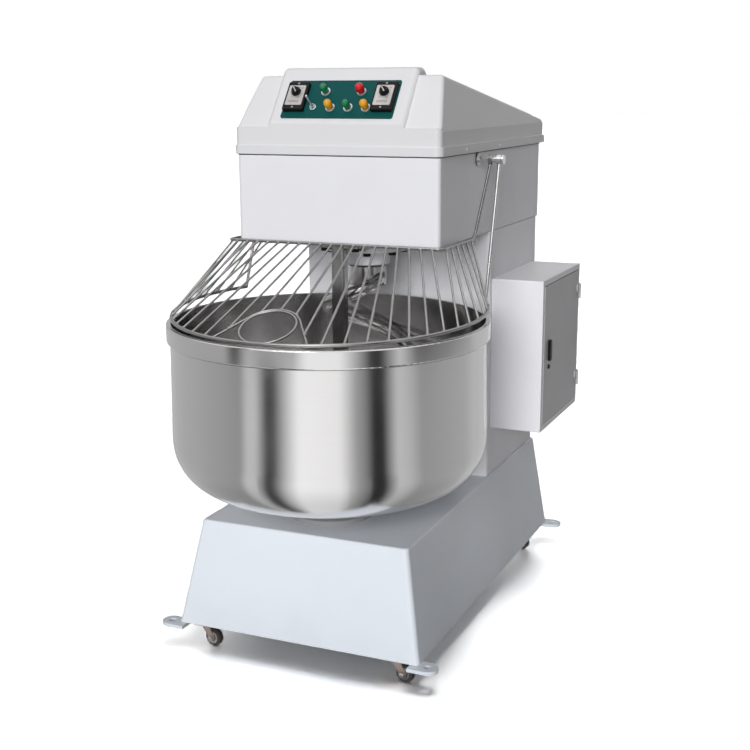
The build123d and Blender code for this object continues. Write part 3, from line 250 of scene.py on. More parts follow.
def bearing(name, description, degrees):
    """An angle."""
    return FloatProperty(name=name, description=description, unit="ROTATION", default=radians(degrees))


def level(name, description, default):
    """A strength or lightness."""
    return FloatProperty(name=name, description=description, min=0, default=default)


def optic(name, description, default):
    """A size in the camera, in millimetres."""
    return FloatProperty(name=name, description=description, unit="CAMERA", default=default)


# Values that a user may change
class MixerFinish(bpy.types.PropertyGroup):
    """Colours of the machine's finishes"""

    sheet_paint: tint("Sheet paint", "Powder coat on column, head and case", (0.81, 0.80, 0.825))
    # Painted shade: the door's paint is a darker copy of the sheet paint, standing in for the shade on the door.
    door_paint: tint("Door paint", "Powder coat on the door of the case", (0.47, 0.455, 0.47))
    # Painted light: the base's paint is a bluish copy of the sheet paint, standing in for bluish light on the base.
    base_paint: tint("Base paint", "Powder coat on the base", (0.765, 0.80, 0.85))
    cover_plastic: tint("Cover", "Moulded cover over the head", (0.755, 0.745, 0.755))
    bowl_steel: tint("Bowl steel", "Stainless steel of the bowl", (0.74, 0.73, 0.73))
    tool_steel: tint("Bar steel", "Stainless steel of the breaker bar and the welds", (0.36, 0.355, 0.35))
    # Painted shade: the spindle's steel is near black, standing in for the shade under the head.
    spindle_steel: tint("Spindle steel", "Dark steel of the spindle", (0.11, 0.108, 0.105))
    hook_steel: tint("Hook steel", "Stainless steel of the hook", (0.56, 0.55, 0.545))
    wire_steel: tint("Wire", "Stainless wire of the guard", (0.36, 0.355, 0.35))
    chrome: tint("Chrome", "Plated small fittings", (0.80, 0.80, 0.81))
    panel_paint: tint("Panel", "Enamel of the control panel", (0.004, 0.072, 0.068))
    black: tint("Black mouldings", "Timers, knobs and door handle", (0.006, 0.006, 0.0065))
    dial_plate: tint("Dial plate", "Printed plate of the timers", (0.50, 0.48, 0.47))
    green: tint("Green button", "Green push buttons", (0.008, 0.20, 0.075))
    red: tint("Red button", "Red push button", (0.62, 0.008, 0.012))
    yellow: tint("Yellow button", "Yellow push buttons", (0.80, 0.36, 0.008))
    zinc: tint("Castor steel", "Plated castor plates and forks", (0.50, 0.39, 0.35))
    tread: tint("Castor tread", "Castor wheels", (0.030, 0.027, 0.026))
    cast: tint("Casting", "Housings, pulleys and pedestal", (0.30, 0.30, 0.30))
    motor_enamel: tint("Motor enamel", "Motors", (0.09, 0.12, 0.15))
    belt: tint("Belts", "Drive belts", (0.014, 0.014, 0.014))
    bolts: tint("Bolts", "Blackened bolts under the head", (0.03, 0.03, 0.03))
    ink: tint("Ink", "Print on the dial plates", (0.02, 0.02, 0.02))


class MixerFittings(bpy.types.PropertyGroup):
    """Sizes of the small fittings"""

    screw_radius: size("Cover screw", "Head radius of the rear cover's screws", 6.0)
    screw_height: size("Screw height", "Head height of the rear cover's screws", 3.2)
    screw_inset: size("Screw inset", "Screws from the edge of the rear cover", 11.0)
    dial_screw_radius: size("Timer screw", "Head radius of the timers' screws", 3.2)
    dial_screw_inset: size("Timer screw inset", "Screws from the ends of a timer", 6.2)
    weld_radius: size("Weld", "Radius of the weld spots on the guard", 4.6)
    lock_radius: size("Door lock", "Radius of the lock below the door handle", 7.0)
    lock_drop: size("Lock drop", "Lock below the handle", 17.0)
    tick_radius: size("Dial scale", "Inner radius of the timer's scale", 14.2)
    tick_length: size("Tick", "Length of a minute mark", 2.0)
    tick_width: size("Tick width", "Width of a minute mark", 0.45)
    figure_radius: size("Figures", "Radius of the figures on a dial", 18.6)
    figure_height: size("Figure height", "Height of the figures on a dial", 3.4)
    ink_thickness: size("Ink", "Thickness of the print", 0.12)
    mark_reach: size("Pointer strip", "Reach of a knob's pointer strip from its axis", 9.4)
    mark_width: size("Pointer width", "Width of a knob's pointer strip", 2.6)
    mark_thickness: size("Pointer thickness", "Thickness of a knob's pointer strip", 0.5)
    gasket_height: size("Gasket", "Height of the dark strip under the cover", 2.4)
    gasket_proud: size("Gasket proud", "How far the strip stands out from the head", 1.2)
    gasket_corner: size("Gasket corner", "Corner radius of the strip", 13.0)
    lip_middle: size("Lip middle", "Screws above the cover's lower edge", 9.0)
    lip_screw_radius: size("Lip screw", "Head radius of the cover's screws", 3.6)
    nut_radius: size("Axle nut", "Radius of a castor's axle nut", 7.5)
    nut_height: size("Nut height", "Height of a castor's axle nut", 4.5)
    hub_inner: size("Hub inside", "Inner radius of the ring on a castor wheel", 9.5)
    hub_outer: size("Hub outside", "Outer radius of the ring on a castor wheel", 15.5)
    hub_height: size("Hub height", "Height of the ring on a castor wheel", 0.45)
    seam_radius: size("Seam", "Radius of the weld under the rim band", 2.2)


class MixerStage(bpy.types.PropertyGroup):
    """Camera, lamps, floor and reflection cards"""

    camera_place: FloatVectorProperty(
        name="Camera",
        description="Where the camera stands",
        subtype="TRANSLATION",
        unit="LENGTH",
        default=(1.29855, -3.0155, 1.390),
    )
    camera_turn: bearing("Turn", "Camera's turn about the vertical", 23.37)
    camera_dip: bearing("Dip", "Camera's view below level", 12.99)
    camera_roll: bearing("Roll", "Camera's roll about its own view", -0.25)
    camera_lens: optic("Lens", "Focal length", 59.9)
    camera_sensor: optic("Sensor", "Width of the sensor", 36)
    camera_far: length("Far", "How far the camera sees", 200)
    key_strength: level("Key light", "Strength of the soft light from the front", 2.95)
    key_turn: bearing("Key turn", "Bearing of the light from the front", 10)
    key_rise: bearing("Key rise", "Height of the light from the front", 16)
    key_softness: bearing("Key softness", "Width of the light from the front", 30)
    key_colour: tint("Key colour", "Colour of the light from the front", (0.97, 0.985, 1))
    top_strength: level("Top light", "Strength of the soft light from above", 0.52)
    top_turn: bearing("Top turn", "Bearing of the light from above", 158)
    top_rise: bearing("Top rise", "Height of the light from above", 83)
    top_softness: bearing("Top softness", "Width of the light from above", 24)
    top_colour: tint("Top colour", "Colour of the light from above", (1, 1, 1))
    fill_strength: level("Fill light", "Strength of the soft light from behind", 0.6)
    fill_turn: bearing("Fill turn", "Bearing of the light from behind", 205)
    fill_rise: bearing("Fill rise", "Height of the light from behind", 10)
    fill_softness: bearing("Fill softness", "Width of the light from behind", 30)
    fill_colour: tint("Fill colour", "Colour of the light from behind", (1, 1, 1))
    lamp_distance: length("Lamp distance", "Lamps from the middle of the floor", 6)
    room_light: level("Room", "Even light from all around", 0.038)
    floor_half: length("Floor half", "Half the width of the floor", 60)
    floor_tone: level("Floor", "Lightness of the floor to the camera", 5.5)
    floor_bounce: level("Bounce", "Lightness of the floor as it lights the machine", 0.60)
    floor_lean: bearing("Floor lean", "Turns the floor's shading away from the front light", 32)
    card_step: length("Card step", "Where the upper card begins above the floor", 0.60)
    card_roof: length("Card roof", "Where the roof card begins above the floor", 2.2)
    card_blend: length("Card blend", "Height over which one card fades into the next", 0.1)
    card_near: level("Card near", "Tone of the card close under the bowl", 0.75)
    near_start: length("Near start", "Where the card close under the bowl begins to lighten", 0.45)
    near_end: length("Near end", "Where the card close under the bowl ends", 0.95)


# Shader building blocks
def feed(tree, node, inputs):
    """Feed a node's inputs, each with a value or from an output socket."""
    for name, source in inputs.items():
        if isinstance(source, bpy.types.NodeSocket):
            tree.links.new(source, node.inputs[name])
        else:
            node.inputs[name].default_value = source


def step(tree, kind, inputs=None, **settings):
    """Add a node, set its named properties and feed its inputs; give back its outputs."""
    node = tree.nodes.new(kind)
    for name, value in settings.items():
        setattr(node, name, value)
    feed(tree, node, inputs or {})
    return node.outputs


def object_place(tree):
    """The spot that is being shaded, in the object's own coordinates."""
    return step(tree, "ShaderNodeTexCoord")["Object"]


def arithmetic(tree, operation, first, second):
    """Work out one value from two."""
    return step(tree, "ShaderNodeMath", {0: first, 1: second}, operation=operation)["Value"]


def spread(tree, source, low, high, start=0.0, end=1.0, curve="LINEAR"):
    """Map a value, from nought to one unless told otherwise, onto a range."""
    ends = {"Value": source, "From Min": start, "From Max": end, "To Min": low, "To Max": high}
    return step(tree, "ShaderNodeMapRange", ends, interpolation_type=curve)["Result"]


def blend_colours(tree, mask, first, second):
    """Mix two colours, each given as a value or a socket, by a mask socket."""
    mix = tree.nodes.new("ShaderNodeMix")
    mix.data_type = "RGBA"
    feed(tree, mix, {"Factor": mask})
    sockets = [place for place, item in enumerate(mix.inputs) if item.type == "RGBA"]
    for place, colour in zip(sockets, (first, second)):
        feed(tree, mix, {place: colour if isinstance(colour, bpy.types.NodeSocket) else (*colour, 1)})
    return next(item for item in mix.outputs if item.type == "RGBA")


def layer(tree, tone, mask, strength, colour):
    """Lay a colour over a tone where a mask is, up to a strength."""
    return blend_colours(tree, spread(tree, mask, 0.0, strength), tone, colour)


def scaled(colour, factor, lift=0.0):
    """A colour made lighter or darker."""
    return tuple(min(1, factor * part + lift) for part in colour)


# Shader groups that the finishes share
MASK = {"Mask": "NodeSocketFloat"}
MASK_AND_HEIGHT = {"Mask": "NodeSocketFloat", "Height": "NodeSocketFloat"}


def shader_group(name, inputs, outputs):
    """Start a node group with named sockets; give back its tree, its given values and its result node."""
    tree = bpy.data.node_groups.new(name, "ShaderNodeTree")
    for socket, value in inputs.items():
        tree.interface.new_socket(socket, in_out="INPUT", socket_type="NodeSocketFloat").default_value = value
    for socket, kind in outputs.items():
        tree.interface.new_socket(socket, in_out="OUTPUT", socket_type=kind)
    return tree, tree.nodes.new("NodeGroupInput").outputs, tree.nodes.new("NodeGroupOutput")


def speckle_group(name):
    """Fine surface grain: a mask for tone and a height for relief."""
    tree, given, result = shader_group(name, {"Scale": 900}, MASK_AND_HEIGHT)
    grain = {"Vector": object_place(tree), "Scale": given["Scale"], "Detail": 3, "Roughness": 0.55}
    noise = step(tree, "ShaderNodeTexNoise", grain)["Fac"]
    feed(tree, result, {"Mask": noise, "Height": noise})
    return tree


def smudge_group(name):
    """Broad uneven patches, as from wiping and handling."""
    tree, given, result = shader_group(name, {"Scale": 6, "From": 0.35, "To": 0.75}, MASK)
    patches = {"Detail": 6, "Roughness": 0.62, "Distortion": 0.4}
    patches.update({"Vector": object_place(tree), "Scale": given["Scale"]})
    noise = step(tree, "ShaderNodeTexNoise", patches)["Fac"]
    feed(tree, result, {"Mask": spread(tree, noise, 0, 1, given["From"], given["To"], "SMOOTHSTEP")})
    return tree


def turned_group(name):
    """Fine lines left round a vertical axis by polishing, with their height."""
    values = {"Axis X": 0, "Axis Y": 0, "Pitch": 900, "Run": 1.5}
    tree, given, result = shader_group(name, values, MASK_AND_HEIGHT)
    apart = step(tree, "ShaderNodeSeparateXYZ", {"Vector": object_place(tree)})
    offset = {side: arithmetic(tree, "SUBTRACT", apart[side], given[f"Axis {side}"]) for side in "XY"}
    flat = step(tree, "ShaderNodeCombineXYZ", offset)["Vector"]
    distance = step(tree, "ShaderNodeVectorMath", {0: flat}, operation="LENGTH")["Value"]
    across = arithmetic(tree, "ADD", distance, apart["Z"])
    lines = arithmetic(tree, "MULTIPLY", across, given["Pitch"])
    along = step(tree, "ShaderNodeVectorMath", {0: flat, "Scale": given["Run"]}, operation="SCALE")
    spot = step(tree, "ShaderNodeSeparateXYZ", {"Vector": along["Vector"]})
    vector = step(tree, "ShaderNodeCombineXYZ", {"X": spot["X"], "Y": spot["Y"], "Z": lines})["Vector"]
    noise = step(tree, "ShaderNodeTexNoise", {"Vector": vector, "Scale": 1, "Detail": 4})["Fac"]
    feed(tree, result, {"Mask": noise, "Height": noise})
    return tree


def edge_group(name):
    """Rounds the shading of sharp edges, and marks where they are."""
    outputs = {"Normal": "NodeSocketVector", "Edge": "NodeSocketFloat"}
    tree, given, result = shader_group(name, {"Radius": 0.002}, outputs)
    rounded = step(tree, "ShaderNodeBevel", {"Radius": given["Radius"]}, samples=6)["Normal"]
    true_normal = step(tree, "ShaderNodeNewGeometry")["Normal"]
    agree = step(tree, "ShaderNodeVectorMath", {0: rounded, 1: true_normal}, operation="DOT_PRODUCT")["Value"]
    feed(tree, result, {"Normal": rounded, "Edge": spread(tree, agree, 0, 1, 1.0, 0.75)})
    return tree


def dust_group(name):
    """Patches that gather low down, fading upward: a dusting of flour on rubber, a darkening of the base's paint
    towards the floor.
    """
    tree, given, result = shader_group(name, {"Height": 0.12}, MASK)
    place = object_place(tree)
    height = step(tree, "ShaderNodeSeparateXYZ", {"Vector": place})["Z"]
    fade = spread(tree, height, 1, 0, 0, given["Height"], "SMOOTHSTEP")
    noise = step(tree, "ShaderNodeTexNoise", {"Vector": place, "Scale": 14, "Detail": 5})["Fac"]
    feed(tree, result, {"Mask": arithmetic(tree, "MULTIPLY", fade, noise)})
    return tree


BUILDERS = {
    "Fine speckle": speckle_group,
    "Wiped patches": smudge_group,
    "Polishing lines": turned_group,
    "Softened edges": edge_group,
    "Low dust": dust_group,
}


def use_group(tree, name, **values):
    """Place a shared shader group, built when first asked for; give back its outputs."""
    group = bpy.data.node_groups.get(name) or BUILDERS[name](name)
    inputs = {socket.replace("_", " "): value for socket, value in values.items()}
    node = tree.nodes.new("ShaderNodeGroup")
    node.node_tree = group
    feed(tree, node, inputs)
    return node.outputs


def start_material(name):
    """A new material; give back it, its tree and its shader."""
    material = bpy.data.materials.new(name)
    material.use_nodes = True
    return material, material.node_tree, material.node_tree.nodes["Principled BSDF"]


def replace_shader(tree, shader, kind, inputs):
    """Put another kind of shader in the place of a material's first one."""
    tree.nodes.remove(shader)
    feed(tree, tree.nodes["Material Output"], {"Surface": step(tree, kind, inputs)[0]})


def relief(tree, height, depth, distance, normal):
    """A normal bumped by a height socket."""
    bump = {"Strength": depth, "Distance": distance, "Height": height, "Normal": normal}
    return step(tree, "ShaderNodeBump", bump)["Normal"]


# Finishes
FLOUR_DUST = (0.16, 0.15, 0.14)


def paint_finish(name, colour, rough, depth=0.06, dust=0.0, gloss=0.45):
    """Powder coat or enamel: faint orange peel, wiped patches, thin painted highlights along the edges, darker patches
    near the floor.
    """
    material, tree, shader = start_material(name)
    grain = use_group(tree, "Fine speckle", Scale=700)
    wiped = use_group(tree, "Wiped patches", Scale=4.0)
    edges = use_group(tree, "Softened edges", Radius=0.0025)
    tone = layer(tree, colour, wiped["Mask"], 0.6, scaled(colour, 0.955))
    # Painted highlight: the tone is a little lighter along the edges.
    tone = layer(tree, tone, edges["Edge"], 0.6, scaled(colour, 1.04))
    # The tone is darker in patches towards the floor.
    if dust:
        low = use_group(tree, "Low dust", Height=dust)
        tone = layer(tree, tone, low["Mask"], 0.5, scaled(colour, 0.72))
    look = {
        "Base Color": tone,
        "Roughness": spread(tree, wiped["Mask"], rough, rough + 0.10),
        "Specular IOR Level": gloss,
        "Normal": relief(tree, grain["Height"], depth, 0.0004, edges["Normal"]),
    }
    feed(tree, shader, look)
    return material


def moulded_finish(name, colour, rough, depth=0.05, gloss=0.5):
    """Moulded plastic: very fine grain and slight unevenness of gloss."""
    material, tree, shader = start_material(name)
    grain = use_group(tree, "Fine speckle", Scale=1400)
    wiped = use_group(tree, "Wiped patches", Scale=9.0)
    edges = use_group(tree, "Softened edges", Radius=0.0015)
    tone = layer(tree, colour, grain["Mask"], 0.5, scaled(colour, 0.9))
    look = {
        # Painted highlight: the tone is lighter along the edges.
        "Base Color": layer(tree, tone, edges["Edge"], 0.7, scaled(colour, 1.10, 0.004)),
        "Roughness": spread(tree, wiped["Mask"], rough, rough + 0.12),
        "Specular IOR Level": gloss,
        "Normal": relief(tree, grain["Height"], depth, 0.0003, edges["Normal"]),
    }
    feed(tree, shader, look)
    return material


def turned_steel_finish(name, colour, rough, axis, lean=0.0):
    """Stainless steel polished round a vertical axis; its shading may lean up, as on a rolled band."""
    material, tree, shader = start_material(name)
    lines = use_group(tree, "Polishing lines", Axis_X=axis.x, Axis_Y=axis.y, Pitch=1500, Run=9.0)
    wiped = use_group(tree, "Wiped patches", Scale=5.0)
    edges = use_group(tree, "Softened edges", Radius=0.0015)
    leaning = step(tree, "ShaderNodeVectorMath", {0: edges["Normal"], 1: (0, 0, lean)}, operation="ADD")
    normal = step(tree, "ShaderNodeVectorMath", {0: leaning["Vector"]}, operation="NORMALIZE")["Vector"]
    look = {
        "Base Color": layer(tree, colour, lines["Mask"], 0.9, scaled(colour, 0.90)),
        "Metallic": 1,
        "Anisotropic": 0.8,
        "Anisotropic Rotation": 0.25,
        "Tangent": step(tree, "ShaderNodeTangent", direction_type="RADIAL", axis="Z")["Tangent"],
        "Roughness": spread(tree, wiped["Mask"], rough, rough + 0.05),
        "Normal": relief(tree, lines["Height"], 0.04, 0.0002, normal),
    }
    feed(tree, shader, look)
    return material


def steel_finish(name, colour, rough, grain_scale=500, metallic=1.0, depth=0.08, spots=0.0):
    """Bright or plated metal: drawn grain, patches and painted highlights along the edges."""
    material, tree, shader = start_material(name)
    grain = use_group(tree, "Fine speckle", Scale=grain_scale)
    wiped = use_group(tree, "Wiped patches", Scale=22.0)
    edges = use_group(tree, "Softened edges", Radius=0.0008)
    tone = layer(tree, colour, wiped["Mask"], 0.8, scaled(colour, 0.82 - spots))
    look = {
        # Painted highlight: the tone is lighter along the edges.
        "Base Color": layer(tree, tone, edges["Edge"], 0.6, scaled(colour, 1.12)),
        "Metallic": metallic,
        "Roughness": spread(tree, grain["Mask"], rough, rough + 0.12),
        "Normal": relief(tree, grain["Height"], depth, 0.0002, edges["Normal"]),
    }
    feed(tree, shader, look)
    return material


def rubber_finish(name, colour, rough):
    """Rubber or hard tread: matt, with a painted highlight along its edges, dusty low down."""
    material, tree, shader = start_material(name)
    grain = use_group(tree, "Fine speckle", Scale=1100)
    edges = use_group(tree, "Softened edges", Radius=0.0015)
    low = use_group(tree, "Low dust", Height=0.04)
    # Painted highlight: the tread is lighter along its edges.
    tone = layer(tree, colour, edges["Edge"], 0.6, scaled(colour, 2.2, 0.01))
    look = {
        "Base Color": layer(tree, tone, low["Mask"], 0.5, FLOUR_DUST),
        "Roughness": spread(tree, grain["Mask"], rough, rough + 0.15),
        "Normal": relief(tree, grain["Height"], 0.2, 0.0004, edges["Normal"]),
    }
    feed(tree, shader, look)
    return material


def finish_nodes(material, *names):
    """Give CAD nodes a finish."""
    for name in names:
        slots = NODES[name].data.materials
        slots.clear()
        slots.append(material)


# Shares and counts that shape the small fittings
SMOOTH_ANGLE = radians(35)
SEAM_CORNERS = 8
SCREW_TAPER = 0.86
SCREW_ROUNDING = 0.3
SOCKET_RIM = 0.32
SOCKET_WALL = 0.02
SOCKET_DEPTH = 0.55
STRIP_ROUNDING = 0.3
NUT_ROUNDING = 0.12
WELD_SQUASH = 0.8
ROD_END = 0.04
LIP_SCREWS = (0.2, 0.5, 0.8)
TEXT_SIZE = 1.4
DIAL_MARKS = 31
DIAL_SWEEP = radians(300)
LONG_MARK = 5
LONG_SHARE = 1.5
FIGURE_MARK = 10


# Modelling helpers
def link_mesh(name, shape):
    """Turn a bmesh into an object of its own."""
    mesh = bpy.data.meshes.new(name)
    shape.to_mesh(mesh)
    shape.free()
    piece = bpy.data.objects.new(name, mesh)
    bpy.context.collection.objects.link(piece)
    return piece


def edges_of(made):
    """All edges at the vertices that an operation made."""
    return list({edge for vertex in made["verts"] for edge in vertex.link_edges})


def add_box(shape, place, sides):
    """Add a box with sides of those lengths, centred on a place; give back its edges."""
    return edges_of(bmesh.ops.create_cube(shape, size=1, matrix=place @ Matrix.Diagonal((*sides, 1))))


def round_edges(shape, edges, offset, segments):
    """Round edges of a bmesh."""
    bmesh.ops.bevel(
        shape, geom=edges, offset=offset, affect="EDGES", segments=segments, profile=0.5, material=-1
    )


def spin_round(shape, corners, closed, centre, axis, steps):
    """Join corners to a line, closed or open, and turn it once round an axis."""
    follow = corners[1:] + corners[:1] if closed else corners[1:]
    edges = [shape.edges.new(pair) for pair in zip(corners, follow)]
    bmesh.ops.spin(
        shape, geom=corners + edges, cent=centre, axis=axis, angle=2 * pi, steps=steps, use_merge=True
    )


def new_piece(name, shape, material, body, slot):
    """Turn a bmesh into a finished piece that rides on a body."""
    bmesh.ops.remove_doubles(shape, verts=shape.verts, dist=1e-7)
    bmesh.ops.recalc_face_normals(shape, faces=shape.faces)
    piece = link_mesh(name, shape)
    for polygon in piece.data.polygons:
        polygon.use_smooth = True
    piece.data.set_sharp_from_angle(angle=SMOOTH_ANGLE)
    piece.data.materials.append(material)
    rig.ride(piece, body)
    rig.slot(piece, slot)
    return piece


def socket_screw(shape, place, radius, height):
    """A domed screw head with a hexagon socket, standing on a surface."""
    made = bmesh.ops.create_cone(
        shape,
        cap_ends=True,
        segments=24,
        radius1=radius,
        radius2=radius * SCREW_TAPER,
        depth=height,
        matrix=place @ Matrix.Translation((0, 0, height / 2)),
    )
    axis = (place.to_3x3() @ UP).normalized()
    faces = {face for vertex in made["verts"] for face in vertex.link_faces}
    top = max(faces, key=lambda face: face.calc_center_median().dot(axis))
    round_edges(shape, list(top.edges), height * SCREW_ROUNDING, 3)
    faces = {face for vertex in shape.verts if vertex.is_valid for face in vertex.link_faces}
    near = place.translation + axis * height
    top = min(faces, key=lambda face: (face.calc_center_median() - near).length)
    bmesh.ops.inset_region(shape, faces=[top], thickness=radius * SOCKET_RIM, depth=0)
    bmesh.ops.inset_region(shape, faces=[top], thickness=radius * SOCKET_WALL, depth=-height * SOCKET_DEPTH)


def rod_ends(node):
    """Lowest and highest end of every separate rod in a CAD node."""
    rods = bmesh.new()
    rods.from_mesh(NODES[node].data)
    bmesh.ops.remove_doubles(rods, verts=rods.verts, dist=1e-6)
    waiting = set(rods.verts)
    ends = []
    while waiting:
        found = {waiting.pop()}
        edge_of_search = list(found)
        while edge_of_search:
            vertex = edge_of_search.pop()
            for link in vertex.link_edges:
                other = link.other_vert(vertex)
                if other not in found:
                    found.add(other)
                    edge_of_search.append(other)
        waiting -= found
        heights = sorted(vertex.co.z for vertex in found)
        end = ROD_END * (heights[-1] - heights[0])
        for low, high in ((heights[0], heights[0] + end), (heights[-1] - end, heights[-1])):
            near = [vertex.co for vertex in found if low <= vertex.co.z <= high]
            ends.append(sum(near, Vector()) / len(near))
    rods.free()
    return ends


def printed(shape, text, place, height, thickness):
    """Add figures to a bmesh as thin raised print, centred on a place."""
    line = bpy.data.curves.new("figures", "FONT")
    line.body = text
    line.size = height * TEXT_SIZE
    line.align_x = "CENTER"
    line.align_y = "CENTER"
    line.extrude = thickness / 2
    line.resolution_u = 3
    holder = bpy.data.objects.new("figures", line)
    bpy.context.collection.objects.link(holder)
    bpy.context.view_layer.update()
    mesh = bpy.data.meshes.new_from_object(holder.evaluated_get(bpy.context.evaluated_depsgraph_get()))
    mesh.transform(place)
    shape.from_mesh(mesh)
    bpy.data.objects.remove(holder)
    bpy.data.curves.remove(line)
    bpy.data.meshes.remove(mesh)


# Operators
class MixerPieces:
    """Hands the user's values to the operator that finishes and fits a group of pieces."""

    def execute(self, context):
        self.build(context.scene.mixer_finish, context.scene.mixer_fittings)
        return {"FINISHED"}


class MIXER_OT_sheet_metal(MixerPieces, bpy.types.Operator):
    """Paint the sheet metal of base, column, head and electrical case"""

    bl_idname = "mixer.sheet_metal"
    bl_label = "Paint sheet metal"

    def build(self, finish, fittings):
        coat = paint_finish("powder_coat", finish.sheet_paint, rough=0.36)
        # Painted light: the base and its lugs take the bluish copy of the sheet paint.
        blue_lit_low_coat = paint_finish("powder_coat_low", finish.base_paint, rough=0.36, dust=0.20)
        finish_nodes(coat, "column_shell", "rear_cover", "head_casing", "electrical_case")
        # Painted shade: the door and its hinges take the darker copy of the sheet paint.
        shaded_door_coat = paint_finish("powder_coat_door", finish.door_paint, rough=0.36)
        finish_nodes(shaded_door_coat, "electrical_door", "door_hinges")
        finish_nodes(blue_lit_low_coat, "base_shell", "anchor_lugs")
        finish_nodes(paint_finish("pedestal_coat", finish.cast, rough=0.40, depth=0.12), "bowl_pedestal")


class MIXER_OT_cover(MixerPieces, bpy.types.Operator):
    """Finish the moulded cover over the head, and fit its gasket and screws"""

    bl_idname = "mixer.cover"
    bl_label = "Finish cover"

    def build(self, finish, fittings):
        moulding = moulded_finish("cover_moulding", finish.cover_plastic, rough=0.34, depth=0.04, gloss=0.35)
        finish_nodes(moulding, "head_cover")
        self.gasket(finish, fittings)
        self.screws(finish, fittings)

    def gasket(self, finish, fittings):
        """A dark strip between the cover's lip and the head."""
        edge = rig.box("head_cover")[0][2]
        low, high = (Vector(corner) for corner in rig.box("head_casing"))
        proud = fittings.gasket_proud
        shape = bmesh.new()
        middle = (low + high) / 2
        middle.z = edge - fittings.gasket_height / 2
        outside = (high.x - low.x + 2 * proud, high.y - low.y + 2 * proud, fittings.gasket_height)
        add_box(shape, Matrix.Translation(middle), outside)
        caps = [face for face in shape.faces if abs(face.normal.z) > 0.5]
        bmesh.ops.delete(shape, geom=caps, context="FACES_ONLY")
        upright = [side for side in shape.edges if abs(side.verts[0].co.z - side.verts[1].co.z) > proud]
        round_edges(shape, upright, fittings.gasket_corner, 6)
        bmesh.ops.solidify(shape, geom=list(shape.faces), thickness=2 * proud)
        rubber = rubber_finish("cover_gasket", finish.belt, rough=0.6)
        new_piece("cover_gasket", shape, rubber, "frame", "belt_rubber")

    def screws(self, finish, fittings):
        """Screws along both sides of the cover's lip."""
        low, high = (Vector(corner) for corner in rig.box("head_cover"))
        shape = bmesh.new()
        for part in LIP_SCREWS:
            spot = Vector((0, low.y + part * (high.y - low.y), low.z + fittings.lip_middle))
            for side in (ACROSS, -ACROSS):
                place = facing(surface("head_cover", spot, side), side)
                socket_screw(shape, place, fittings.lip_screw_radius, fittings.screw_height / 2)
        plated = steel_finish("cover_screws", finish.bowl_steel, rough=0.24)
        new_piece("cover_screws", shape, plated, "frame", "chrome")


class MIXER_OT_bowl(MixerPieces, bpy.types.Operator):
    """Polish the bowl and its rim band, and weld the band's lower edge"""

    bl_idname = "mixer.bowl"
    bl_label = "Polish bowl"

    def build(self, finish, fittings):
        axis = joint_place("bowl_spin")
        steel = turned_steel_finish("bowl_polish", finish.bowl_steel, rough=0.15, axis=axis)
        finish_nodes(steel, "bowl_shell")
        band = turned_steel_finish("band_polish", finish.bowl_steel, rough=0.13, axis=axis, lean=0.10)
        finish_nodes(band, "bowl_rim_band")
        self.seam(finish, fittings.seam_radius)

    def seam(self, finish, radius):
        """The weld that closes the lower edge of the rim band."""
        axis = joint_place("bowl_spin")
        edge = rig.box("bowl_rim_band")[0][2]
        below = [vertex.co for vertex in NODES["bowl_shell"].data.vertices if vertex.co.z < edge]
        wall = axis.x + max((spot.xy - axis.xy).length for spot in below)
        shape = bmesh.new()
        corners = []
        for part in range(SEAM_CORNERS):
            angle = 2 * pi * part / SEAM_CORNERS
            corners.append(shape.verts.new((wall + radius * cos(angle), axis.y, edge + radius * sin(angle))))
        spin_round(shape, corners, True, axis, UP, 144)
        weld = steel_finish("seam_weld", finish.wire_steel, rough=0.24, grain_scale=700, depth=0.3)
        new_piece("rim_seam", shape, weld, "bowl", "bowl_steel")


class MIXER_OT_tools(MixerPieces, bpy.types.Operator):
    """Finish hook, spindle, breaker bar, castings and the pieces under the head"""

    bl_idname = "mixer.tools"
    bl_label = "Polish tools"

    def build(self, finish, fittings):
        finish_nodes(steel_finish("tool_polish", finish.tool_steel, rough=0.12), "breaker_bar")
        # Painted shade: the spindle's near-black steel stands in for the shade under the head.
        finish_nodes(steel_finish("spindle_polish", finish.spindle_steel, rough=0.20), "spindle_shaft")
        finish_nodes(steel_finish("hook_polish", finish.hook_steel, rough=0.10), "spiral_hook")
        casting = steel_finish("casting", finish.cast, rough=0.42, grain_scale=260, depth=0.25, spots=0.1)
        finish_nodes(casting, "bowl_hub", "spindle_pulley", "spiral_motor_pulley")
        finish_nodes(casting, "bowl_pulley", "bowl_motor_pulley")
        pale = paint_finish("head_paint", finish.sheet_paint, rough=0.40, depth=0.12)
        finish_nodes(pale, "spindle_housing", "head_plate")
        finish_nodes(steel_finish("black_bolts", finish.bolts, rough=0.38, spots=0.2), "head_bolts")


class MIXER_OT_drive(MixerPieces, bpy.types.Operator):
    """Finish motors and belts"""

    bl_idname = "mixer.drive"
    bl_label = "Finish drive"

    def build(self, finish, fittings):
        enamel = paint_finish("motor_enamel", finish.motor_enamel, rough=0.42)
        finish_nodes(enamel, "spiral_motor", "bowl_motor")
        finish_nodes(rubber_finish("belt_rubber", finish.belt, rough=0.7), "spiral_belts", "bowl_belts")


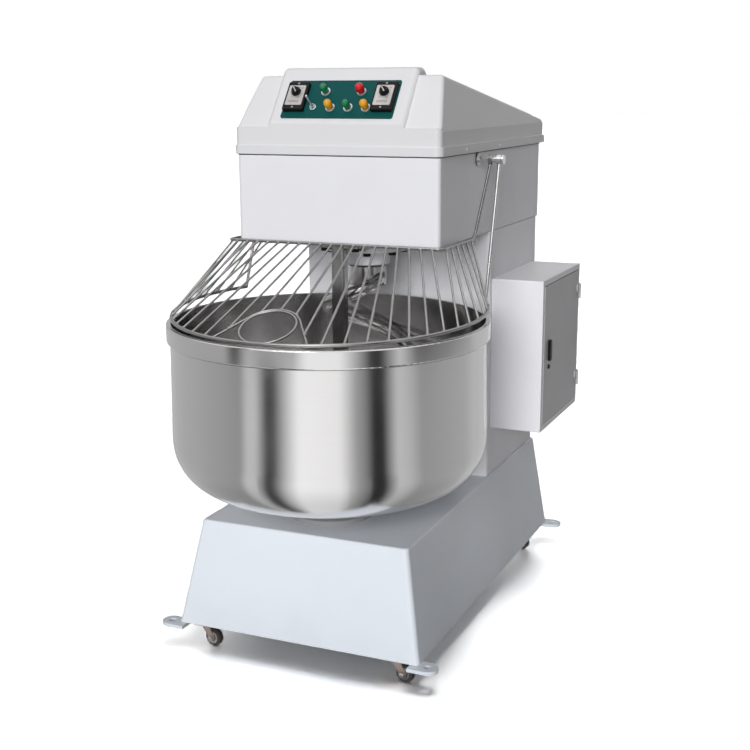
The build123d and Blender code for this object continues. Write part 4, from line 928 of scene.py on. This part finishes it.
class MIXER_OT_guard(MixerPieces, bpy.types.Operator):
    """Polish the wire guard and weld its rods"""

    bl_idname = "mixer.guard"
    bl_label = "Finish guard"

    def build(self, finish, fittings):
        wires = steel_finish("guard_wire", finish.wire_steel, rough=0.16, grain_scale=800)
        finish_nodes(wires, "guard_ring", "guard_rail", "guard_rods", "guard_feed_ring", "guard_bushes")
        finish_nodes(steel_finish("guard_tube", finish.bowl_steel, rough=0.18, grain_scale=800), "guard_arms")
        finish_nodes(steel_finish("guard_chrome", finish.chrome, rough=0.08, depth=0.02), "guard_shaft")
        shape = bmesh.new()
        for end in rod_ends("guard_rods"):
            place = Matrix.Translation(end) @ Matrix.Diagonal((1, 1, WELD_SQUASH, 1))
            bmesh.ops.create_icosphere(shape, subdivisions=2, radius=fittings.weld_radius, matrix=place)
        weld = steel_finish("weld_metal", finish.tool_steel, rough=0.30, grain_scale=900, depth=0.4)
        new_piece("guard_welds", shape, weld, "guard", "guard_steel")


class MIXER_OT_panel(MixerPieces, bpy.types.Operator):
    """Finish the control panel with its timers, buttons and switch"""

    bl_idname = "mixer.panel"
    bl_label = "Finish panel"

    def build(self, finish, fittings):
        enamel = paint_finish("panel_enamel", finish.panel_paint, rough=0.34, depth=0.03, gloss=0.10)
        finish_nodes(enamel, "control_panel")
        black = moulded_finish("black_moulding", finish.black, rough=0.38, gloss=0.18)
        finish_nodes(black, "timer_bezels", "timer_knob_left", "timer_knob_right")
        finish_nodes(black, "door_handle", "contactors", "cable_gland", "guard_switch")
        plate = steel_finish("dial_plate", finish.dial_plate, rough=0.42, metallic=0.6)
        finish_nodes(plate, "timer_dials")
        finish_nodes(steel_finish("plated", finish.chrome, rough=0.10, depth=0.02), "toggle_bush")
        satin = steel_finish("satin", finish.bowl_steel, rough=0.34, depth=0.02)
        finish_nodes(satin, "toggle_lever", "button_bezels")
        self.buttons(finish)
        self.timers(finish, fittings)
        for side in ("left", "right"):
            self.pointer_strip(side, fittings, plate)

    def buttons(self, finish):
        """Glossy push buttons in their colours."""
        for colour, nodes in (
            ("green", ("green_button_upper", "green_button_lower")),
            ("red", ("red_button",)),
            ("yellow", ("yellow_button_left", "yellow_button_right")),
        ):
            shiny = moulded_finish(f"button_{colour}", getattr(finish, colour), rough=0.11, depth=0.01)
            finish_nodes(shiny, *nodes)

    def timers(self, finish, fittings):
        """Print on the timers' dials, and screws at the ends of their bezels."""
        low, high = reach("timer_bezels", PANEL_UP)
        bezel_face = reach("timer_bezels", PANEL_OUT)[1]
        dial_low = reach("timer_dials", PANEL_UP)[0]
        dial_face = reach("timer_dials", PANEL_OUT)[1]
        ink = bmesh.new()
        screws = bmesh.new()
        for joint in ("timer_turn_left", "timer_turn_right"):
            knob = joint_place(joint)
            up = knob.dot(PANEL_UP)
            self.scale(ink, fittings, panel_place(knob.x, up, dial_face))
            below = (dial_low + up) / 2 - fittings.tick_radius / 2
            self.rule(ink, fittings, panel_place(knob.x, below, dial_face))
            for end in (low + fittings.dial_screw_inset, high - fittings.dial_screw_inset):
                place = panel_place(knob.x, end, bezel_face)
                socket_screw(screws, place, fittings.dial_screw_radius, fittings.screw_height / 2)
        ink_finish = moulded_finish("dial_ink", finish.ink, rough=0.5)
        new_piece("timer_print", ink, ink_finish, "frame", "dial_grey")
        new_piece("timer_screws", screws, bpy.data.materials["guard_wire"], "frame", "chrome")

    def pointer_strip(self, side, fittings, material):
        """The plated strip along the top of a knob's wing."""
        node = f"timer_knob_{side}"
        middle = joint_place(f"timer_turn_{side}")
        top = reach(node, PANEL_OUT)[1]
        spots = [vertex.co for vertex in NODES[node].data.vertices]
        wing = [spot - middle for spot in spots if spot.dot(PANEL_OUT) > top - fittings.mark_thickness]
        wing = [spoke - PANEL_OUT * spoke.dot(PANEL_OUT) for spoke in wing]
        along = max(wing, key=lambda spoke: spoke.length).normalized()
        turn = Matrix((along, PANEL_OUT.cross(along), PANEL_OUT)).transposed().to_4x4()
        spot = middle + PANEL_OUT * (top - middle.dot(PANEL_OUT))
        shape = bmesh.new()
        sides = (2 * fittings.mark_reach, fittings.mark_width, fittings.mark_thickness)
        edges = add_box(shape, Matrix.Translation(spot) @ turn, sides)
        round_edges(shape, edges, fittings.mark_thickness * STRIP_ROUNDING, 2)
        new_piece(node + "_strip", shape, material, f"knob_{side}", "dial_grey")

    def scale(self, shape, fittings, dial):
        """Minute marks and figures round a timer's knob."""
        thick = fittings.ink_thickness
        for mark in range(DIAL_MARKS):
            spin = Matrix.Rotation(DIAL_SWEEP * (0.5 - mark / (DIAL_MARKS - 1)), 4, "Z")
            tick = fittings.tick_length * (LONG_SHARE if mark % LONG_MARK == 0 else 1)
            place = dial @ spin @ Matrix.Translation((0, fittings.tick_radius + tick / 2, thick / 2))
            add_box(shape, place, (fittings.tick_width, tick, thick))
            if mark % FIGURE_MARK == 0:
                place = dial @ Matrix.Translation(spin @ Vector((0, fittings.figure_radius, thick / 2)))
                printed(shape, str(mark), place, fittings.figure_height, thick)

    def rule(self, shape, fittings, dial):
        """Two plain lines below a timer's scale."""
        thick = fittings.ink_thickness
        for row in (0, 1):
            place = dial @ Matrix.Translation((0, -row * fittings.figure_height, thick / 2))
            add_box(shape, place, (2 * fittings.tick_radius, 2 * fittings.tick_width, thick))


class MIXER_OT_case(MixerPieces, bpy.types.Operator):
    """Fit the lock on the electrical case and the screws of the rear cover"""

    bl_idname = "mixer.case"
    bl_label = "Fit case and rear cover"

    def build(self, finish, fittings):
        low, high = (Vector(corner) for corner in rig.box("door_handle"))
        lock = bmesh.new()
        below = Vector((0, (low.y + high.y) / 2, low.z - fittings.lock_drop))
        place = facing(surface("electrical_door", below, ACROSS), ACROSS)
        socket_screw(lock, place, fittings.lock_radius, fittings.screw_height)
        new_piece("door_lock", lock, bpy.data.materials["black_moulding"], "door", "black_plastic")
        low, high = (Vector(corner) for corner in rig.box("rear_cover"))
        middle = (low + high) / 2
        inset = fittings.screw_inset
        screws = bmesh.new()
        for x in (low.x + inset, middle.x, high.x - inset):
            for z in (low.z + inset, middle.z, high.z - inset):
                if abs(x - middle.x) > inset or abs(z - middle.z) > inset:
                    place = facing(Vector((x, high.y, z)), BACK)
                    socket_screw(screws, place, fittings.screw_radius, fittings.screw_height)
        new_piece("rear_cover_screws", screws, bpy.data.materials["plated"], "frame", "chrome")


class MIXER_OT_castors(MixerPieces, bpy.types.Operator):
    """Finish the castors, and fit their axle nuts and wheel rings"""

    bl_idname = "mixer.castors"
    bl_label = "Finish castors"

    def build(self, finish, fittings):
        zinc = steel_finish("castor_zinc", finish.zinc, rough=0.34, metallic=0.6, spots=0.15)
        tread = rubber_finish("castor_tread", finish.tread, rough=0.55)
        bright = steel_finish("castor_bright", finish.chrome, rough=0.22)
        finish_nodes(zinc, "castor_plates")
        for corner in ("front_left", "front_right", "rear_left", "rear_right"):
            finish_nodes(zinc, f"castor_fork_{corner}")
            finish_nodes(tread, f"castor_wheel_{corner}")
            self.trim(fittings, corner, bright)

    def trim(self, fittings, corner, material):
        """Nuts on the axle's ends and a bright ring on each side of the wheel."""
        middle = joint_place(f"castor_roll_{corner}")
        axis = joint_axis(f"castor_roll_{corner}")
        nuts = bmesh.new()
        rings = bmesh.new()
        for side in (axis, -axis):
            cheek, face = (
                facing(middle + side * (reach(f"castor_{piece}_{corner}", side)[1] - middle.dot(side)), side)
                for piece in ("fork", "wheel")
            )
            nut = bmesh.ops.create_cone(
                nuts,
                cap_ends=True,
                segments=6,
                radius1=fittings.nut_radius,
                radius2=fittings.nut_radius,
                depth=fittings.nut_height,
                matrix=cheek,
            )
            round_edges(nuts, edges_of(nut), fittings.nut_height * NUT_ROUNDING, 2)
            self.ring(rings, fittings, face)
        new_piece(f"castor_nuts_{corner}", nuts, material, f"fork_{corner}", "castor_zinc")
        new_piece(f"castor_rings_{corner}", rings, material, f"wheel_{corner}", "castor_zinc")

    def ring(self, shape, fittings, place):
        """A flat ring with a raised lip, standing on the side of a wheel."""
        thick = fittings.hub_height
        outline = (
            (fittings.hub_inner, -thick),
            (fittings.hub_inner, thick),
            (fittings.hub_inner + 2 * thick, thick),
            (fittings.hub_outer - 4 * thick, thick / 2),
            (fittings.hub_outer - 2 * thick, thick),
            (fittings.hub_outer, thick / 2),
            (fittings.hub_outer, -thick),
        )
        corners = [shape.verts.new(place @ Vector((distance, 0, height))) for distance, height in outline]
        spin_round(shape, corners, True, place.translation, place.to_3x3() @ UP, 36)


class MIXER_OT_stage(bpy.types.Operator):
    """Set up floor, lamps, reflection cards and camera"""

    bl_idname = "mixer.stage"
    bl_label = "Set the stage"

    def execute(self, context):
        stage = context.scene.mixer_stage
        self.floor(stage)
        self.world(context, stage)
        self.lamps(context, stage)
        self.cards(stage)
        self.camera(context, stage)
        context.scene.view_settings.view_transform = "Standard"
        return {"FINISHED"}

    def floor(self, stage):
        """A wide pale floor that keeps the machine's shadow."""
        shape = bmesh.new()
        bmesh.ops.create_grid(shape, x_segments=1, y_segments=1, size=stage.floor_half)
        floor = link_mesh("floor", shape)
        material, tree, shader = start_material("pale_floor")
        lean = step(tree, "ShaderNodeCombineXYZ", {"Y": sin(stage.floor_lean), "Z": cos(stage.floor_lean)})
        tone = spread(tree, seen_directly(tree), stage.floor_bounce, stage.floor_tone)
        replace_shader(tree, shader, "ShaderNodeBsdfDiffuse", {"Color": tone, "Normal": lean["Vector"]})
        floor.data.materials.append(material)
        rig.stage(floor)

    def world(self, context, stage):
        """Even room light, white to the camera and in reflections."""
        world = bpy.data.worlds.new("studio")
        context.scene.world = world
        world.use_nodes = True
        tree = world.node_tree
        strength = spread(tree, seen_directly(tree), stage.room_light, 1.0)
        feed(tree, tree.nodes["Background"], {"Color": (1, 1, 1, 1), "Strength": strength})

    def lamps(self, context, stage):
        """A wide soft key light from the front, one from above and a weak one from behind."""
        for name in ("key", "top", "fill"):
            light = bpy.data.lights.new(f"{name}_light", "SUN")
            light.energy = getattr(stage, f"{name}_strength")
            light.color = getattr(stage, f"{name}_colour")
            light.angle = getattr(stage, f"{name}_softness")
            lamp = bpy.data.objects.new(f"{name}_light", light)
            context.collection.objects.link(lamp)
            rise = getattr(stage, f"{name}_rise")
            turn = Matrix.Rotation(getattr(stage, f"{name}_turn"), 3, "Z")
            away = turn @ Vector((0, -cos(rise), sin(rise)))
            lamp.matrix_world = facing(away * stage.lamp_distance, away)
            lamp.visible_glossy = False

    def cards(self, stage):
        """A ring of card round the machine that only reflections see, light and dark by direction."""
        shape = bmesh.new()
        corners = [shape.verts.new((distance, 0, height)) for distance, height in CARD_OUTLINE]
        spin_round(shape, corners, False, (0, 0, 0), UP, 72)
        ring = link_mesh("reflection_ring", shape)
        ring.location = joint_place("bowl_spin")
        ring.location.z = 0
        ring.rotation_euler.z = stage.camera_turn - pi / 2
        material, tree, shader = start_material("reflection_ring")
        place = object_place(tree)
        around = step(tree, "ShaderNodeTexGradient", {"Vector": place}, gradient_type="RADIAL")["Fac"]
        height = step(tree, "ShaderNodeSeparateXYZ", {"Vector": place})["Z"]
        distance = step(tree, "ShaderNodeVectorMath", {0: place}, operation="LENGTH")["Value"]
        tone = tone_ramp(tree, around, LOW_CARDS)
        for start, cards in ((stage.card_step, HIGH_CARDS), (stage.card_roof, ROOF_CARDS)):
            above = spread(tree, height, 0, 1, start, start + stage.card_blend)
            tone = blend_colours(tree, above, tone, tone_ramp(tree, around, cards))
        near = spread(tree, distance, stage.card_near, 1, stage.near_start, stage.near_end)
        replace_shader(tree, shader, "ShaderNodeEmission", {"Color": tone, "Strength": near})
        ring.data.materials.append(material)
        for rays in ("camera", "diffuse", "shadow", "transmission"):
            setattr(ring, f"visible_{rays}", False)
        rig.stage(ring)

    def camera(self, context, stage):
        """The photograph's point of view."""
        view = bpy.data.cameras.new("view")
        view.sensor_width = stage.camera_sensor
        view.lens = stage.camera_lens
        view.clip_end = stage.camera_far
        camera = bpy.data.objects.new("view", view)
        context.collection.objects.link(camera)
        turn = Matrix.Rotation(stage.camera_turn, 4, "Z")
        dip = Matrix.Rotation(pi / 2 - stage.camera_dip, 4, "X")
        roll = Matrix.Rotation(stage.camera_roll, 4, "Z")
        camera.matrix_world = Matrix.Translation(stage.camera_place) @ turn @ dip @ roll
        context.scene.camera = camera


def tone_ramp(tree, value, cards):
    """Greys by direction, from the cards that stand there."""
    ramp = tree.nodes.new("ShaderNodeValToRGB")
    feed(tree, ramp, {"Fac": value})
    marks = ramp.color_ramp.elements
    while len(marks) > 1:
        marks.remove(marks[-1])
    for card in cards.values():
        for degrees, tone in ((card.start, card.tone), (card.end, card.end_tone)):
            marks.new((degrees + 180) / 360).color = (tone, tone, tone, 1)
    return ramp.outputs["Color"]


def seen_directly(tree):
    """One for rays from the camera, reflections and glass; nought for light that spreads."""
    path = step(tree, "ShaderNodeLightPath")
    first = arithmetic(tree, "MAXIMUM", path["Is Camera Ray"], path["Is Glossy Ray"])
    return arithmetic(tree, "MAXIMUM", first, path["Is Transmission Ray"])


OPERATORS = (
    MIXER_OT_sheet_metal,
    MIXER_OT_cover,
    MIXER_OT_bowl,
    MIXER_OT_tools,
    MIXER_OT_drive,
    MIXER_OT_guard,
    MIXER_OT_panel,
    MIXER_OT_case,
    MIXER_OT_castors,
    MIXER_OT_stage,
)


class MIXER_PT_sidebar(bpy.types.Panel):
    """Lists the mixer's pieces"""

    bl_idname = "MIXER_PT_sidebar"
    bl_label = "Spiral dough mixer"
    bl_space_type = "VIEW_3D"
    bl_region_type = "UI"
    bl_category = "Mixer"

    def draw(self, context):
        for operator in OPERATORS:
            self.layout.operator(operator.bl_idname)


GROUPS = {"mixer_finish": MixerFinish, "mixer_fittings": MixerFittings, "mixer_stage": MixerStage}


def register():
    for group in GROUPS.values():
        bpy.utils.register_class(group)
    for name, group in GROUPS.items():
        setattr(bpy.types.Scene, name, PointerProperty(type=group))
    for operator in OPERATORS:
        bpy.utils.register_class(operator)
    bpy.utils.register_class(MIXER_PT_sidebar)


def unregister():
    bpy.utils.unregister_class(MIXER_PT_sidebar)
    for operator in reversed(OPERATORS):
        bpy.utils.unregister_class(operator)
    for name, group in GROUPS.items():
        delattr(bpy.types.Scene, name)
        bpy.utils.unregister_class(group)


def main():
    register()
    bpy.ops.mixer.sheet_metal()
    bpy.ops.mixer.cover()
    bpy.ops.mixer.bowl()
    bpy.ops.mixer.tools()
    bpy.ops.mixer.drive()
    bpy.ops.mixer.guard()
    bpy.ops.mixer.panel()
    bpy.ops.mixer.case()
    bpy.ops.mixer.castors()
    bpy.ops.mixer.stage()
    sizes = {"cad": CAD_BOX, "visual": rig.bounds()}
    plain = {name: [list(corner) for corner in box] for name, box in sizes.items()}
    with open("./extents.json", "w") as file:
        json.dump(plain, file)


if __name__ == "__main__":
    main()
